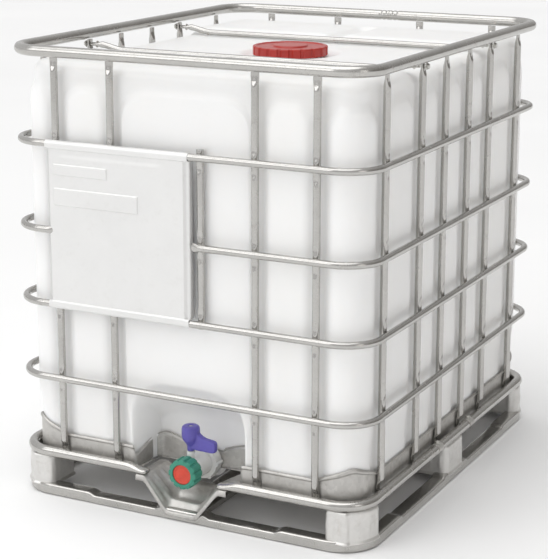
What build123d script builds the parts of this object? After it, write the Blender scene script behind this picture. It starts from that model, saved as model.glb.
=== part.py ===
from build123d import *
import os
from math import pi, sqrt

os.makedirs("parts", exist_ok=True)

# Intermediate bulk container, 1000 litres: a blow-moulded bottle in a welded tube cage on a steel pallet.
# Frame: origin on the floor under the middle of the container, +Z up, the valve side faces -Y.
# All sizes are in millimetres.

# ---- overall ----
WIDTH, DEPTH, HEIGHT = 1000.0, 1200.0, 1160.0
HALF_X, HALF_Y = WIDTH / 2, DEPTH / 2
SHEET = 2.0

# ---- cage tubes ----
RAIL_R, RAIL_WALL, RAIL_BEND = 14.0, 1.5, 86.0
RAIL_Z = HEIGHT - RAIL_R
HOOP_R, HOOP_WALL, HOOP_BEND = 8.0, 1.0, 91.0
HOOP_INSET = 9.0
HOOP_Z = (921.0, 704.0, 514.0, 320.0)
HOOP_GAP = (-350.0, 35.0)
UPRIGHT_R, UPRIGHT_WALL = 9.0, 1.0
UPRIGHT_INSET = HOOP_INSET + HOOP_R + UPRIGHT_R
FRONT_UPRIGHT_X = (-356.0, -197.0, 197.0, 356.0)
BACK_UPRIGHT_X = (-350.0, -130.0, 130.0, 350.0)
SIDE_UPRIGHT_Y = (-447.0, -233.0, -80.0, 80.0, 233.0, 447.0)
PLATE_UPRIGHT_X = 51.0
UPRIGHT_TOP = HEIGHT - 2 * RAIL_R
TAB_W, TAB_T, TAB_DROP, TAB_SHIFT = 22.0, 4.0, 26.0, 6.0
CLOSE = 0.1

# ---- cross bars over the bottle ----
BAR_R, BAR_WALL = 8.0, 1.0
BAR_Y = SIDE_UPRIGHT_Y[4]
BAR_LOW_Z, BAR_END_Z = 1104.0, 1121.0
BAR_TAB = 4.0
BAR_KNEE_OUT, BAR_KNEE_IN, BAR_BEND = 432.0, 392.0, 40.0
BAR_HOLLOW = 18.0
BOLT_R, BOLT_HOLE_R = 4.0, 4.3

# ---- pallet ----
FRAME_R, FRAME_WALL, FRAME_INSET, FRAME_BEND = 13.0, 1.5, 16.0, 84.0
FOOT_INSET = 4.0
FOOT_TOP = 103.0
FRAME_Z = FOOT_TOP + FRAME_R
UPRIGHT_BOTTOM = FRAME_Z + FRAME_R + CLOSE
RUNNER_W, RUNNER_H, RUNNER_WALL, RUNNER_BEND = 40.0, 26.0, 1.5, 80.0
RUNNER_INSET = FOOT_INSET + RUNNER_W / 2
VALVE_FOOT_TOP, VALVE_FOOT_BOTTOM, VALVE_FOOT_BACK = 105.0, 40.0, -480.0
CLAMP_Y = (-110.0, 110.0)

# ---- tray under the bottle ----
TRAY_INSET = UPRIGHT_INSET + UPRIGHT_R + 0.5
TRAY_LIP, TRAY_TONGUE, TRAY_BEND = 152.0, 196.0, 80.0

# ---- bottle ----
WALL = 2.5
BOTTLE_INSET = TRAY_INSET + SHEET + 1.5
BOTTLE_X, BOTTLE_Y = HALF_X - BOTTLE_INSET, HALF_Y - BOTTLE_INSET
BOTTLE_BOTTOM, BOTTLE_TOP, PAD_TOP = FOOT_TOP + SHEET + 1.0, 1092.0, 1116.0
BOTTLE_CORNER = 75.0
NICHE_HALF, NICHE_TOP, NICHE_DEPTH = 160.0, 350.0, 106.0
NICHE_BACK = -BOTTLE_Y + NICHE_DEPTH
SUMP_HALF, SUMP_BOTTOM, SUMP_BACK = 55.0, 88.0, -330.0
NECK_R, NECK_BORE, NECK_TOP = 84.0, 75.0, 1112.0
THREAD_PITCH, THREAD_DEPTH = 7.0, 2.5

# ---- filling cap ----
CAP_R, LUG_DEPTH, CAP_SKIRT, CAP_TOP, CAP_LUGS = 96.0, 3.0, 1095.0, 1121.0, 16
GASKET = 3.0

# ---- outlet valve, its axis along Y ----
VALVE_Z = 122.0
VALVE_BORE, VALVE_R, STUB_R = 25.2, 30.0, 34.0
STUB_FRONT = NICHE_BACK - 22.0
BODY_BACK, BODY_FRONT = STUB_FRONT - 2.0, -582.0
FLANGE_R, FLANGE_W = 34.0, 6.0
NUT_BACK = NICHE_BACK - 6.0
STEM_Y, STEM_R, STEM_CLEAR = -542.0, 5.0, 0.06
BOSS_R, BOSS_TOP = 10.0, VALVE_Z + 48.0
DISC_R, DISC_W = 24.9, 4.0
HUB_BOTTOM, HUB_TOP, HUB_R = 184.0, 237.0, 23.0
ARM_END, ARM_W, ARM_LOW, ARM_HIGH = 74.0, 14.0, 183.0, 213.0
RING_FRONT, RING_BACK, RING_R, RING_LUGS = -592.0, -553.5, 37.0, 12
RING_LIP_R, RING_INNER_R = 25.5, 32.0


def save(part, name):
    part.label = name
    export_step(part, f"parts/{name}.step")


def round_tube(radius, wall):
    """Annular section in the current sketch."""
    Circle(radius)
    Circle(radius - wall, mode=Mode.SUBTRACT)


def flat_tube(width, height, wall):
    """Flattened tube section in the current sketch, its width across the sketch's X."""
    RectangleRounded(width, height, height * 0.3)
    RectangleRounded(width - 2 * wall, height - 2 * wall, height * 0.3 - wall, mode=Mode.SUBTRACT)


def bent_loop(half_x, half_y, bend, z, section, gap=None):
    """A tube bent round a rounded rectangle. gap is the stretch in X that the front run leaves open."""
    run_x, run_y = half_x - bend, half_y - bend
    front = [(-run_x, run_x)] if gap is None else [(-run_x, gap[0]), (gap[1], run_x)]
    with BuildPart() as loop:
        for start, end in front:
            with BuildSketch(Plane((start, -half_y, z), x_dir=(0, 1, 0), z_dir=(1, 0, 0))):
                section()
            extrude(amount=end - start)
        with BuildSketch(Plane((-run_x, half_y, z), x_dir=(0, 1, 0), z_dir=(1, 0, 0))):
            section()
        extrude(amount=2 * run_x)
        for side in (-1, 1):
            with BuildSketch(Plane((side * half_x, -run_y, z), x_dir=(1, 0, 0), z_dir=(0, 1, 0))):
                section()
            extrude(amount=2 * run_y)
        for side_x in (-1, 1):
            for side_y in (-1, 1):
                corner = (side_x * run_x, side_y * run_y, z)
                start = Plane((corner[0] + side_x * bend, corner[1], z), x_dir=(1, 0, 0), z_dir=(0, 1, 0))
                with BuildSketch(start):
                    section()
                revolve(axis=Axis(corner, (0, 0, side_x * side_y)), revolution_arc=90)
    return loop.part


def upright(x, y, bottom, top, inward=None, bolt_z=None):
    """A vertical cage tube. inward is the way its flat bottom tab steps in, behind the pallet's tube.
    bolt_z is the height of a cross hole along X."""
    with BuildPart() as tube:
        if inward is not None:
            with BuildSketch(Plane((x, y, bottom - TAB_DROP), x_dir=(*inward, 0), z_dir=(0, 0, 1))):
                with Locations((TAB_SHIFT, 0)):
                    Rectangle(TAB_T, TAB_W)
            extrude(amount=TAB_DROP + TAB_T)
        with BuildSketch(Plane((x, y, bottom))):
            round_tube(UPRIGHT_R, UPRIGHT_WALL)
        extrude(amount=top - bottom)
        if bolt_z is not None:
            with BuildSketch(Plane((x, y, bolt_z), x_dir=(0, 1, 0), z_dir=(1, 0, 0))):
                Circle(BOLT_HOLE_R)
            extrude(amount=2 * UPRIGHT_R, both=True, mode=Mode.SUBTRACT)
    return tube.part


def make_cage():
    save(
        bent_loop(HALF_X - RAIL_R, HALF_Y - RAIL_R, RAIL_BEND, RAIL_Z, lambda: round_tube(RAIL_R, RAIL_WALL)),
        "top_rail",
    )
    with BuildPart() as insert:
        with BuildSketch(Plane((-40, HALF_Y - RAIL_R, RAIL_Z), x_dir=(0, 1, 0), z_dir=(1, 0, 0))):
            round_tube(RAIL_R - RAIL_WALL - CLOSE, RAIL_WALL)
        extrude(amount=80)
    save(insert.part, "rail_joint_insert")
    for number, z in enumerate(HOOP_Z, 1):
        hoop = bent_loop(
            HALF_X - HOOP_INSET,
            HALF_Y - HOOP_INSET,
            HOOP_BEND,
            z,
            lambda: round_tube(HOOP_R, HOOP_WALL),
            HOOP_GAP if number == 2 else None,
        )
        save(hoop, f"cage_hoop_{number}")
    for number, x in enumerate(FRONT_UPRIGHT_X, 1):
        save(upright(x, -HALF_Y + UPRIGHT_INSET, UPRIGHT_BOTTOM, UPRIGHT_TOP, (0, 1)), f"front_upright_{number}")
    for number, x in enumerate(BACK_UPRIGHT_X, 1):
        save(upright(x, HALF_Y - UPRIGHT_INSET, UPRIGHT_BOTTOM, UPRIGHT_TOP, (0, -1)), f"back_upright_{number}")
    for side, name in ((-1, "left"), (1, "right")):
        for number, y in enumerate(SIDE_UPRIGHT_Y, 1):
            bolt_z = BAR_END_Z if abs(y) == BAR_Y else None
            x = side * (HALF_X - UPRIGHT_INSET)
            tube = upright(x, y, UPRIGHT_BOTTOM, UPRIGHT_TOP, (-side, 0), bolt_z)
            save(tube, f"{name}_upright_{number}")
    save(
        upright(PLATE_UPRIGHT_X, -HALF_Y + UPRIGHT_INSET, HOOP_Z[2] - 8, HOOP_Z[0] + 17),
        "plate_upright",
    )


def make_cross_bars():
    """Two bars over the bottle, dipped in the middle, each end a flat tab bolted to an upright."""
    tab_x = HALF_X - UPRIGHT_INSET - UPRIGHT_R
    tube_end = tab_x - BAR_TAB
    for side, name in ((-1, "front"), (1, "back")):
        y = side * BAR_Y
        with BuildPart() as bar:
            with BuildLine(Plane.XZ.offset(-y)) as path:
                FilletPolyline(
                    (-tube_end, BAR_END_Z),
                    (-BAR_KNEE_OUT, BAR_END_Z),
                    (-BAR_KNEE_IN, BAR_LOW_Z),
                    (BAR_KNEE_IN, BAR_LOW_Z),
                    (BAR_KNEE_OUT, BAR_END_Z),
                    (tube_end, BAR_END_Z),
                    radius=BAR_BEND,
                )
            with BuildSketch(Plane((-tube_end, y, BAR_END_Z), x_dir=(0, 1, 0), z_dir=(1, 0, 0))):
                Circle(BAR_R)
            sweep()
            with BuildLine(Plane.XZ.offset(-y)):
                FilletPolyline(
                    (-tube_end + BAR_HOLLOW, BAR_END_Z),
                    (-BAR_KNEE_OUT, BAR_END_Z),
                    (-BAR_KNEE_IN, BAR_LOW_Z),
                    (BAR_KNEE_IN, BAR_LOW_Z),
                    (BAR_KNEE_OUT, BAR_END_Z),
                    (tube_end - BAR_HOLLOW, BAR_END_Z),
                    radius=BAR_BEND,
                )
            with BuildSketch(Plane((-tube_end + BAR_HOLLOW, y, BAR_END_Z), x_dir=(0, 1, 0), z_dir=(1, 0, 0))):
                Circle(BAR_R - BAR_WALL)
            sweep(mode=Mode.SUBTRACT)
            for end in (-1, 1):
                with BuildSketch(Plane((end * tube_end, y, BAR_END_Z), x_dir=(0, 1, 0), z_dir=(end, 0, 0))):
                    RectangleRounded(24, 20, 6)
                extrude(amount=BAR_TAB)
                with BuildSketch(Plane((end * tab_x, y, BAR_END_Z), x_dir=(0, 1, 0), z_dir=(-end, 0, 0))):
                    Circle(BOLT_HOLE_R)
                extrude(amount=26, mode=Mode.SUBTRACT)
        save(bar.part, f"cross_bar_{name}")
    with BuildPart() as bolts:
        head_x = tab_x + 2 * UPRIGHT_R
        for side_x in (-1, 1):
            for side_y in (-1, 1):
                seat = Plane(
                    (side_x * head_x, side_y * BAR_Y, BAR_END_Z), x_dir=(0, 1, 0), z_dir=(-side_x, 0, 0)
                )
                with BuildSketch(seat):
                    Circle(BOLT_R)
                extrude(amount=2 * UPRIGHT_R + BAR_TAB + 14)
                with BuildSketch(seat.offset(-5)):
                    RegularPolygon(7, 6)
                extrude(amount=5)
    save(bolts.part, "cross_bar_bolts")


def make_marking_plate():
    """Sheet in front of the cage, rolled over hoop 1 and under hoop 3, with two raised label frames."""
    left, right = -372.0, 30.0
    front = -HALF_Y
    gauge = 1.0
    hoop_y = -HALF_Y + HOOP_INSET
    with BuildPart() as plate:
        with BuildSketch(Plane.YZ.offset(left)):
            with Locations((front + gauge / 2, (HOOP_Z[0] + HOOP_Z[2]) / 2)):
                Rectangle(gauge, HOOP_Z[0] - HOOP_Z[2])
            for z, side in ((HOOP_Z[0], 1), (HOOP_Z[2], -1)):
                with Locations((hoop_y, z)):
                    Circle(HOOP_INSET)
            for z, side in ((HOOP_Z[0], 1), (HOOP_Z[2], -1)):
                with Locations((hoop_y, z)):
                    Circle(HOOP_R + 0.05, mode=Mode.SUBTRACT)
                with Locations((hoop_y, z - side * HOOP_INSET)):
                    Rectangle(2 * (HOOP_INSET - gauge), 2 * HOOP_INSET, mode=Mode.SUBTRACT)
                with Locations((hoop_y + HOOP_INSET + 3, z)):
                    Rectangle(2 * HOOP_INSET, 40, mode=Mode.SUBTRACT)
        extrude(amount=right - left)
        for x in (left, right - gauge):
            with BuildSketch(Plane.YZ.offset(x)):
                with Locations((front + 3.5, (HOOP_Z[0] + HOOP_Z[2]) / 2)):
                    Rectangle(7, HOOP_Z[0] - HOOP_Z[2] - 2 * HOOP_R - 150)
            extrude(amount=gauge)
        notch_low, notch_high = HOOP_Z[1] - HOOP_R - 3, HOOP_Z[1] + HOOP_R + 3
        with BuildSketch(Plane.YZ.offset(left)):
            with Locations((front + gauge + 5, (notch_low + notch_high) / 2)):
                Rectangle(10, notch_high - notch_low)
        extrude(amount=gauge, mode=Mode.SUBTRACT)
    save(plate.part, "marking_plate")


def make_pallet_frame():
    frame = bent_loop(
        HALF_X - FRAME_INSET,
        HALF_Y - FRAME_INSET,
        FRAME_BEND,
        FRAME_Z,
        lambda: round_tube(FRAME_R, FRAME_WALL),
        (-VALVE_FOOT_TOP + 5, VALVE_FOOT_TOP - 5),
    )
    with BuildPart() as drilled:
        add(frame)
        for side in (-1, 1):
            for y in CLAMP_Y:
                with BuildSketch(Plane((side * (HALF_X - FRAME_INSET), y, FRAME_Z))):
                    Circle(3.3)
                extrude(amount=FRAME_R + 5, mode=Mode.SUBTRACT)
    save(drilled.part, "pallet_top_frame")
    with BuildPart() as clamps:
        for side in (-1, 1):
            for y in CLAMP_Y:
                x = side * (HALF_X - FRAME_INSET)
                with BuildSketch(Plane((x, y - 14, FRAME_Z), x_dir=(1, 0, 0), z_dir=(0, 1, 0))):
                    Circle(FRAME_R + SHEET)
                    Circle(FRAME_R + CLOSE, mode=Mode.SUBTRACT)
                    with Locations((0, 14)):
                        Rectangle(40, 26, mode=Mode.SUBTRACT)
                extrude(amount=28)
                with BuildSketch(Plane((x, y, FRAME_Z))):
                    Circle(3.3)
                extrude(amount=FRAME_R + 5, mode=Mode.SUBTRACT)
    save(clamps.part, "cage_clamps")
    with BuildPart() as bolts:
        for side in (-1, 1):
            for y in CLAMP_Y:
                seat = Plane((side * (HALF_X - FRAME_INSET), y, FRAME_Z + FRAME_R + SHEET))
                with BuildSketch(seat.offset(-12)):
                    Circle(3)
                extrude(amount=12)
                with BuildSketch(seat):
                    RegularPolygon(6.5, 6)
                extrude(amount=5)
    save(bolts.part, "cage_clamp_bolts")


def pallet_outline(inset, radius):
    RectangleRounded(WIDTH - 2 * inset, DEPTH - 2 * inset, radius)


def make_feet():
    """Pressed sheet feet, open underneath, standing on the runners."""
    foot_height = FOOT_TOP - RUNNER_H
    for side_x, word_x in ((-1, "left"), (1, "right")):
        for side_y, word_y in ((-1, "front"), (1, "back")):
            with BuildPart() as foot:
                for skin, top, mode in ((0, FOOT_TOP, Mode.ADD), (SHEET, FOOT_TOP - SHEET, Mode.SUBTRACT)):
                    with BuildSketch(Plane.XY.offset(RUNNER_H)):
                        pallet_outline(FOOT_INSET + skin, RAIL_BEND + 10 - skin)
                        with BuildLine():
                            Polyline(
                                (side_x * (452 + skin), side_y * 620),
                                (side_x * (452 + skin), side_y * 596),
                                (side_x * (388 + skin), side_y * 562),
                                (side_x * (388 + skin), side_y * (482 + skin)),
                                (side_x * 462, side_y * (482 + skin)),
                                (side_x * 496, side_y * (530 + skin)),
                                (side_x * 520, side_y * (530 + skin)),
                                (side_x * 520, side_y * 620),
                                close=True,
                            )
                        make_face(mode=Mode.INTERSECT)
                    extrude(amount=top - RUNNER_H, mode=mode)
                with BuildSketch(Plane.XZ.offset(HALF_Y)):
                    with Locations((side_x * 432, RUNNER_H + 18)):
                        SlotOverall(26, 12)
                if side_y < 0:
                    extrude(amount=-60, mode=Mode.SUBTRACT)
            save(foot.part, f"corner_foot_{word_y}_{word_x}")
    middle_feet = {
        "side_foot_left": (-HALF_X + FOOT_INSET + 45, 0, 90, 120),
        "side_foot_right": (HALF_X - FOOT_INSET - 45, 0, 90, 120),
        "back_foot": (0, HALF_Y - FOOT_INSET - 45, 150, 90),
        "centre_foot": (0, 0, 140, 140),
    }
    for name, (x, y, size_x, size_y) in middle_feet.items():
        with BuildPart() as foot:
            for skin, top, mode in ((0, FOOT_TOP, Mode.ADD), (SHEET, FOOT_TOP - SHEET, Mode.SUBTRACT)):
                with BuildSketch(Plane.XY.offset(RUNNER_H)):
                    with Locations((x, y)):
                        RectangleRounded(size_x - 2 * skin, size_y - 2 * skin, 18 - skin)
                extrude(amount=top - RUNNER_H, mode=mode)
        save(foot.part, name)


def make_valve_foot():
    """The front middle foot: a folded trough that the valve stands in, with ribs across its floor."""
    front = -HALF_Y + FOOT_INSET
    with BuildPart() as foot:
        with BuildSketch(Plane.XZ.offset(-front)):
            with BuildLine():
                Polyline(
                    (-VALVE_FOOT_TOP, FOOT_TOP),
                    (-VALVE_FOOT_BOTTOM, RUNNER_H),
                    (VALVE_FOOT_BOTTOM, RUNNER_H),
                    (VALVE_FOOT_TOP, FOOT_TOP),
                    (VALVE_FOOT_TOP - 3, FOOT_TOP),
                    (VALVE_FOOT_BOTTOM - 1, RUNNER_H + 3),
                    (-VALVE_FOOT_BOTTOM + 1, RUNNER_H + 3),
                    (-VALVE_FOOT_TOP + 3, FOOT_TOP),
                    close=True,
                )
            make_face()
        extrude(amount=front - VALVE_FOOT_BACK)
        for y in (front, VALVE_FOOT_BACK - 3):
            with BuildSketch(Plane.XZ.offset(-y)):
                with BuildLine():
                    Polyline(
                        (-VALVE_FOOT_BOTTOM, RUNNER_H),
                        (VALVE_FOOT_BOTTOM, RUNNER_H),
                        (VALVE_FOOT_BOTTOM + 16, RUNNER_H + 20),
                        (-VALVE_FOOT_BOTTOM - 16, RUNNER_H + 20),
                        close=True,
                    )
                make_face()
            extrude(amount=-3)
        for y in (front + 25, front + 60):
            with BuildSketch(Plane.XZ.offset(-y)):
                with Locations((0, RUNNER_H + 6)):
                    Rectangle(2 * VALVE_FOOT_BOTTOM - 8, 6)
            extrude(amount=-12)
    save(foot.part, "valve_foot")


def make_runners():
    runner = bent_loop(
        HALF_X - RUNNER_INSET,
        HALF_Y - RUNNER_INSET,
        RUNNER_BEND,
        RUNNER_H / 2,
        lambda: flat_tube(RUNNER_W, RUNNER_H, RUNNER_WALL),
    )
    save(runner, "base_runner")
    inner_y = HALF_Y - RUNNER_INSET - RUNNER_W / 2
    with BuildPart() as skid:
        with BuildSketch(Plane((0, -inner_y, RUNNER_H / 2), x_dir=(1, 0, 0), z_dir=(0, 1, 0))):
            flat_tube(2 * RUNNER_W, RUNNER_H, RUNNER_WALL)
        extrude(amount=2 * inner_y)
    save(skid.part, "centre_skid")


def tray_form(skin):
    """The tray's outer form for skin 0, and the hollow inside it for skin SHEET."""
    floor = FOOT_TOP + skin
    with BuildPart() as form:
        with BuildSketch(Plane.XY.offset(floor)):
            pallet_outline(TRAY_INSET + skin, TRAY_BEND - skin)
        extrude(amount=TRAY_LIP - floor)
        with BuildSketch(Plane.XY.offset(TRAY_LIP)):
            pallet_outline(TRAY_INSET + skin, TRAY_BEND - skin)
            Rectangle(WIDTH, 2 * (HALF_Y - TRAY_INSET - 100), mode=Mode.SUBTRACT)
            Rectangle(2 * (HALF_X - TRAY_INSET - 100), DEPTH, mode=Mode.SUBTRACT)
        extrude(amount=TRAY_TONGUE - TRAY_LIP, taper=0)
        with BuildSketch(Plane.XY.offset(SUMP_BOTTOM - 1 - SHEET + skin)):
            with Locations((0, (NICHE_BACK + SUMP_BACK) / 2)):
                RectangleRounded(
                    2 * (SUMP_HALF + 3 + SHEET - skin), SUMP_BACK - NICHE_BACK + 2 * (3 + SHEET - skin), 12
                )
        extrude(amount=40)
        with BuildSketch(Plane.XY.offset(FOOT_TOP - 30)):
            with Locations((0, -HALF_Y + (HALF_Y + NICHE_BACK - 3 - SHEET + skin) / 2)):
                Rectangle(2 * (NICHE_HALF - 3 + skin), HALF_Y + NICHE_BACK - 3 - SHEET + skin)
        extrude(amount=200, mode=Mode.SUBTRACT)
    return form.part


def make_tray():
    """Pressed pan that carries the bottle, stepped back round the niche and notched there for the valve."""
    with BuildPart() as tray:
        add(tray_form(0))
        add(tray_form(SHEET), mode=Mode.SUBTRACT)
        with BuildSketch(Plane.XY.offset(SUMP_BOTTOM - 1)):
            with Locations((0, NICHE_BACK - 4)):
                Rectangle(104, 12)
        extrude(amount=200, mode=Mode.SUBTRACT)
    save(tray.part, "floor_tray")


def bottle_form(skin):
    """The bottle's outer form for skin 0, and the liquid inside it for skin WALL."""
    bottom, top = BOTTLE_BOTTOM + skin, BOTTLE_TOP - skin
    with BuildPart() as form:
        with BuildSketch(Plane.XY.offset(bottom)):
            RectangleRounded(2 * (BOTTLE_X - skin), 2 * (BOTTLE_Y - skin), BOTTLE_CORNER - skin)
        extrude(amount=top - bottom)
        fillet(form.faces().sort_by(Axis.Z)[-1].edges(), 38 - skin)
        fillet(form.faces().sort_by(Axis.Z)[0].edges(), 28 - skin)
        with BuildSketch(Plane.XY.offset(top - 20)):
            with GridLocations(472, 790, 2, 2):
                RectangleRounded(392 - 2 * skin, 252 - 2 * skin, 60)
        extrude(amount=PAD_TOP - skin - top + 20)
        fillet(form.faces().group_by(Axis.Z)[-1].edges(), 14)
        with BuildSketch(Plane.XZ.offset(BOTTLE_Y + 50)):
            with Locations((0, (NICHE_TOP + skin) / 2)):
                RectangleRounded(2 * (NICHE_HALF + skin), NICHE_TOP + skin, 80 + skin)
            with Locations((0, bottom - 20)):
                Rectangle(2 * (NICHE_HALF + skin), 200)
        extrude(amount=-(NICHE_DEPTH + 50 + skin), mode=Mode.SUBTRACT)
        with BuildSketch(Plane.XY.offset(SUMP_BOTTOM + skin)):
            with Locations((0, (NICHE_BACK + SUMP_BACK) / 2)):
                RectangleRounded(2 * (SUMP_HALF - skin), SUMP_BACK - NICHE_BACK - 2 * skin, 10)
        extrude(amount=60)
    return form.part


def make_bottle():
    with BuildPart() as bottle:
        add(bottle_form(0))
        with BuildSketch(Plane.XY.offset(BOTTLE_TOP - 10)):
            Circle(NECK_R)
        extrude(amount=NECK_TOP - BOTTLE_TOP + 10)
        with BuildSketch(Plane((0, NICHE_BACK + 10, VALVE_Z), x_dir=(1, 0, 0), z_dir=(0, -1, 0))):
            Circle(STUB_R)
        extrude(amount=NICHE_BACK + 10 - STUB_FRONT)
        add(bottle_form(WALL), mode=Mode.SUBTRACT)
        with BuildSketch(Plane.XY.offset(BOTTLE_TOP - 30)):
            Circle(NECK_BORE)
        extrude(amount=NECK_TOP - BOTTLE_TOP + 40, mode=Mode.SUBTRACT)
        with BuildSketch(Plane((0, NICHE_BACK + 20, VALVE_Z), x_dir=(1, 0, 0), z_dir=(0, -1, 0))):
            Circle(VALVE_BORE)
        extrude(amount=60, mode=Mode.SUBTRACT)
        for turn in range(2):
            with BuildSketch(Plane.XZ):
                with Locations((NECK_R, NECK_TOP - 6 - turn * THREAD_PITCH)):
                    Trapezoid(4.4, 2 * THREAD_DEPTH, 75, rotation=-90)
            revolve(axis=Axis.Z)
        with BuildSketch(Plane.XY.offset(BOTTLE_TOP - 30)):
            Circle(NECK_BORE)
        extrude(amount=NECK_TOP - BOTTLE_TOP + 40, mode=Mode.SUBTRACT)
    save(bottle.part, "bottle")


def make_filling_cap():
    with BuildPart() as cap:
        with BuildSketch(Plane.XY.offset(CAP_SKIRT)):
            Circle(CAP_R)
            with PolarLocations(CAP_R - 1, CAP_LUGS):
                Rectangle(2 * LUG_DEPTH + 2, 2 * pi * CAP_R / CAP_LUGS - 6)
        extrude(amount=CAP_TOP - CAP_SKIRT)
        fillet(cap.faces().sort_by(Axis.Z)[-1].edges(), 1.5)
        with BuildSketch(Plane.XY.offset(CAP_SKIRT)):
            Circle(NECK_R + THREAD_DEPTH + 1.5)
        extrude(amount=NECK_TOP + GASKET - CAP_SKIRT, mode=Mode.SUBTRACT)
        with BuildSketch(Plane.XY.offset(CAP_TOP)):
            Circle(CAP_R - 14)
        extrude(amount=-2, mode=Mode.SUBTRACT)
    save(cap.part, "filling_cap")
    with BuildPart() as gasket:
        with BuildSketch(Plane.XY.offset(NECK_TOP)):
            Circle(NECK_R + 2)
            Circle(NECK_BORE, mode=Mode.SUBTRACT)
        extrude(amount=GASKET)
    save(gasket.part, "cap_gasket")


def valve_plane(y):
    """A sketch plane across the valve's axis, facing out of the container."""
    return Plane((0, y, VALVE_Z), x_dir=(1, 0, 0), z_dir=(0, -1, 0))


def make_valve_body():
    with BuildPart() as body:
        with BuildSketch(valve_plane(BODY_BACK)):
            Circle(VALVE_R)
        extrude(amount=BODY_BACK - BODY_FRONT)
        with BuildSketch(valve_plane(BODY_BACK)):
            Circle(FLANGE_R)
        extrude(amount=FLANGE_W)
        with BuildSketch(Plane((0, STEM_Y, VALVE_Z - 37))):
            Circle(BOSS_R - 2)
        extrude(amount=30)
        with BuildSketch(Plane((0, STEM_Y, VALVE_Z + 20))):
            Circle(BOSS_R)
        extrude(amount=BOSS_TOP - VALVE_Z - 20)
        for y in (-568.0, -574.0):
            with BuildSketch(Plane.YZ):
                with Locations((y, VALVE_Z + VALVE_R)):
                    Trapezoid(3.0, 1.2, 70)
            revolve(axis=Axis((0, 0, VALVE_Z), (0, 1, 0)))
        with BuildSketch(valve_plane(BODY_BACK + 5)):
            Circle(VALVE_BORE)
        extrude(amount=BODY_BACK - BODY_FRONT + 10, mode=Mode.SUBTRACT)
        with BuildSketch(Plane((0, STEM_Y, VALVE_Z - 34))):
            Circle(STEM_R + STEM_CLEAR)
        extrude(amount=120, mode=Mode.SUBTRACT)
    save(body.part, "valve_body")
    with BuildPart() as nut:
        with BuildSketch(valve_plane(NUT_BACK)):
            Circle(42)
            with PolarLocations(42, 6):
                Circle(5)
        extrude(amount=NUT_BACK - BODY_BACK + FLANGE_W + 5)
        with BuildSketch(valve_plane(NUT_BACK)):
            Circle(FLANGE_R + 0.4)
        extrude(amount=NUT_BACK - BODY_BACK + FLANGE_W, mode=Mode.SUBTRACT)
        with BuildSketch(valve_plane(NUT_BACK)):
            Circle(VALVE_R + 0.5)
        extrude(amount=60, mode=Mode.SUBTRACT)
    save(nut.part, "valve_union_nut")
    with BuildPart() as seal:
        with BuildSketch(valve_plane(STUB_FRONT)):
            Circle(STUB_R)
            Circle(VALVE_BORE, mode=Mode.SUBTRACT)
        extrude(amount=STUB_FRONT - BODY_BACK)
    save(seal.part, "valve_gasket")


def make_valve_spindle():
    """Butterfly disc, stem and lever, which turn together about the upright stem."""
    with BuildPart() as disc:
        with BuildSketch(valve_plane(STEM_Y + DISC_W / 2)):
            Circle(DISC_R)
        extrude(amount=DISC_W)
        with BuildSketch(Plane((0, STEM_Y, VALVE_Z - 23))):
            Circle(8)
        extrude(amount=46)
        with BuildSketch(Plane((0, STEM_Y, VALVE_Z - 40))):
            Circle(STEM_R)
        extrude(amount=80, mode=Mode.SUBTRACT)
    save(disc.part, "butterfly_disc")
    with BuildPart() as stem:
        with BuildSketch(Plane((0, STEM_Y, VALVE_Z - 33))):
            Circle(STEM_R)
        extrude(amount=HUB_BOTTOM + 18 - (VALVE_Z - 33))
    save(stem.part, "valve_stem")
    with BuildPart() as lever:
        with BuildSketch(Plane((0, STEM_Y, HUB_BOTTOM))):
            Circle(HUB_R)
        extrude(amount=HUB_TOP - HUB_BOTTOM)
        fillet(lever.faces().sort_by(Axis.Z)[-1].edges(), 7)
        with BuildSketch(Plane((0, STEM_Y, BOSS_TOP + 1))):
            Circle(9)
        extrude(amount=HUB_BOTTOM - BOSS_TOP)
        with BuildSketch(Plane.XZ.offset(-STEM_Y + ARM_W / 2)):
            with Locations((ARM_END / 2, (ARM_LOW + ARM_HIGH) / 2)):
                RectangleRounded(ARM_END, ARM_HIGH - ARM_LOW, 5)
        extrude(amount=-ARM_W)
        with BuildSketch(Plane((0, STEM_Y, BOSS_TOP))):
            Circle(STEM_R)
        extrude(amount=HUB_BOTTOM + 18 - BOSS_TOP, mode=Mode.SUBTRACT)
        with BuildSketch(Plane((0, STEM_Y, HUB_TOP))):
            Circle(6)
        extrude(amount=-6, mode=Mode.SUBTRACT)
        with BuildSketch(Plane((0, STEM_Y, HUB_TOP))):
            Circle(2.5)
        extrude(amount=-34, mode=Mode.SUBTRACT)
    save(lever.part, "valve_lever")
    with BuildPart() as screw:
        with BuildSketch(Plane((0, STEM_Y, HUB_TOP - 6))):
            Circle(5)
        extrude(amount=4)
        with BuildSketch(Plane((0, STEM_Y, HUB_TOP - 6))):
            Circle(2.5)
        extrude(amount=-28)
    save(screw.part, "lever_screw")


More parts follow.
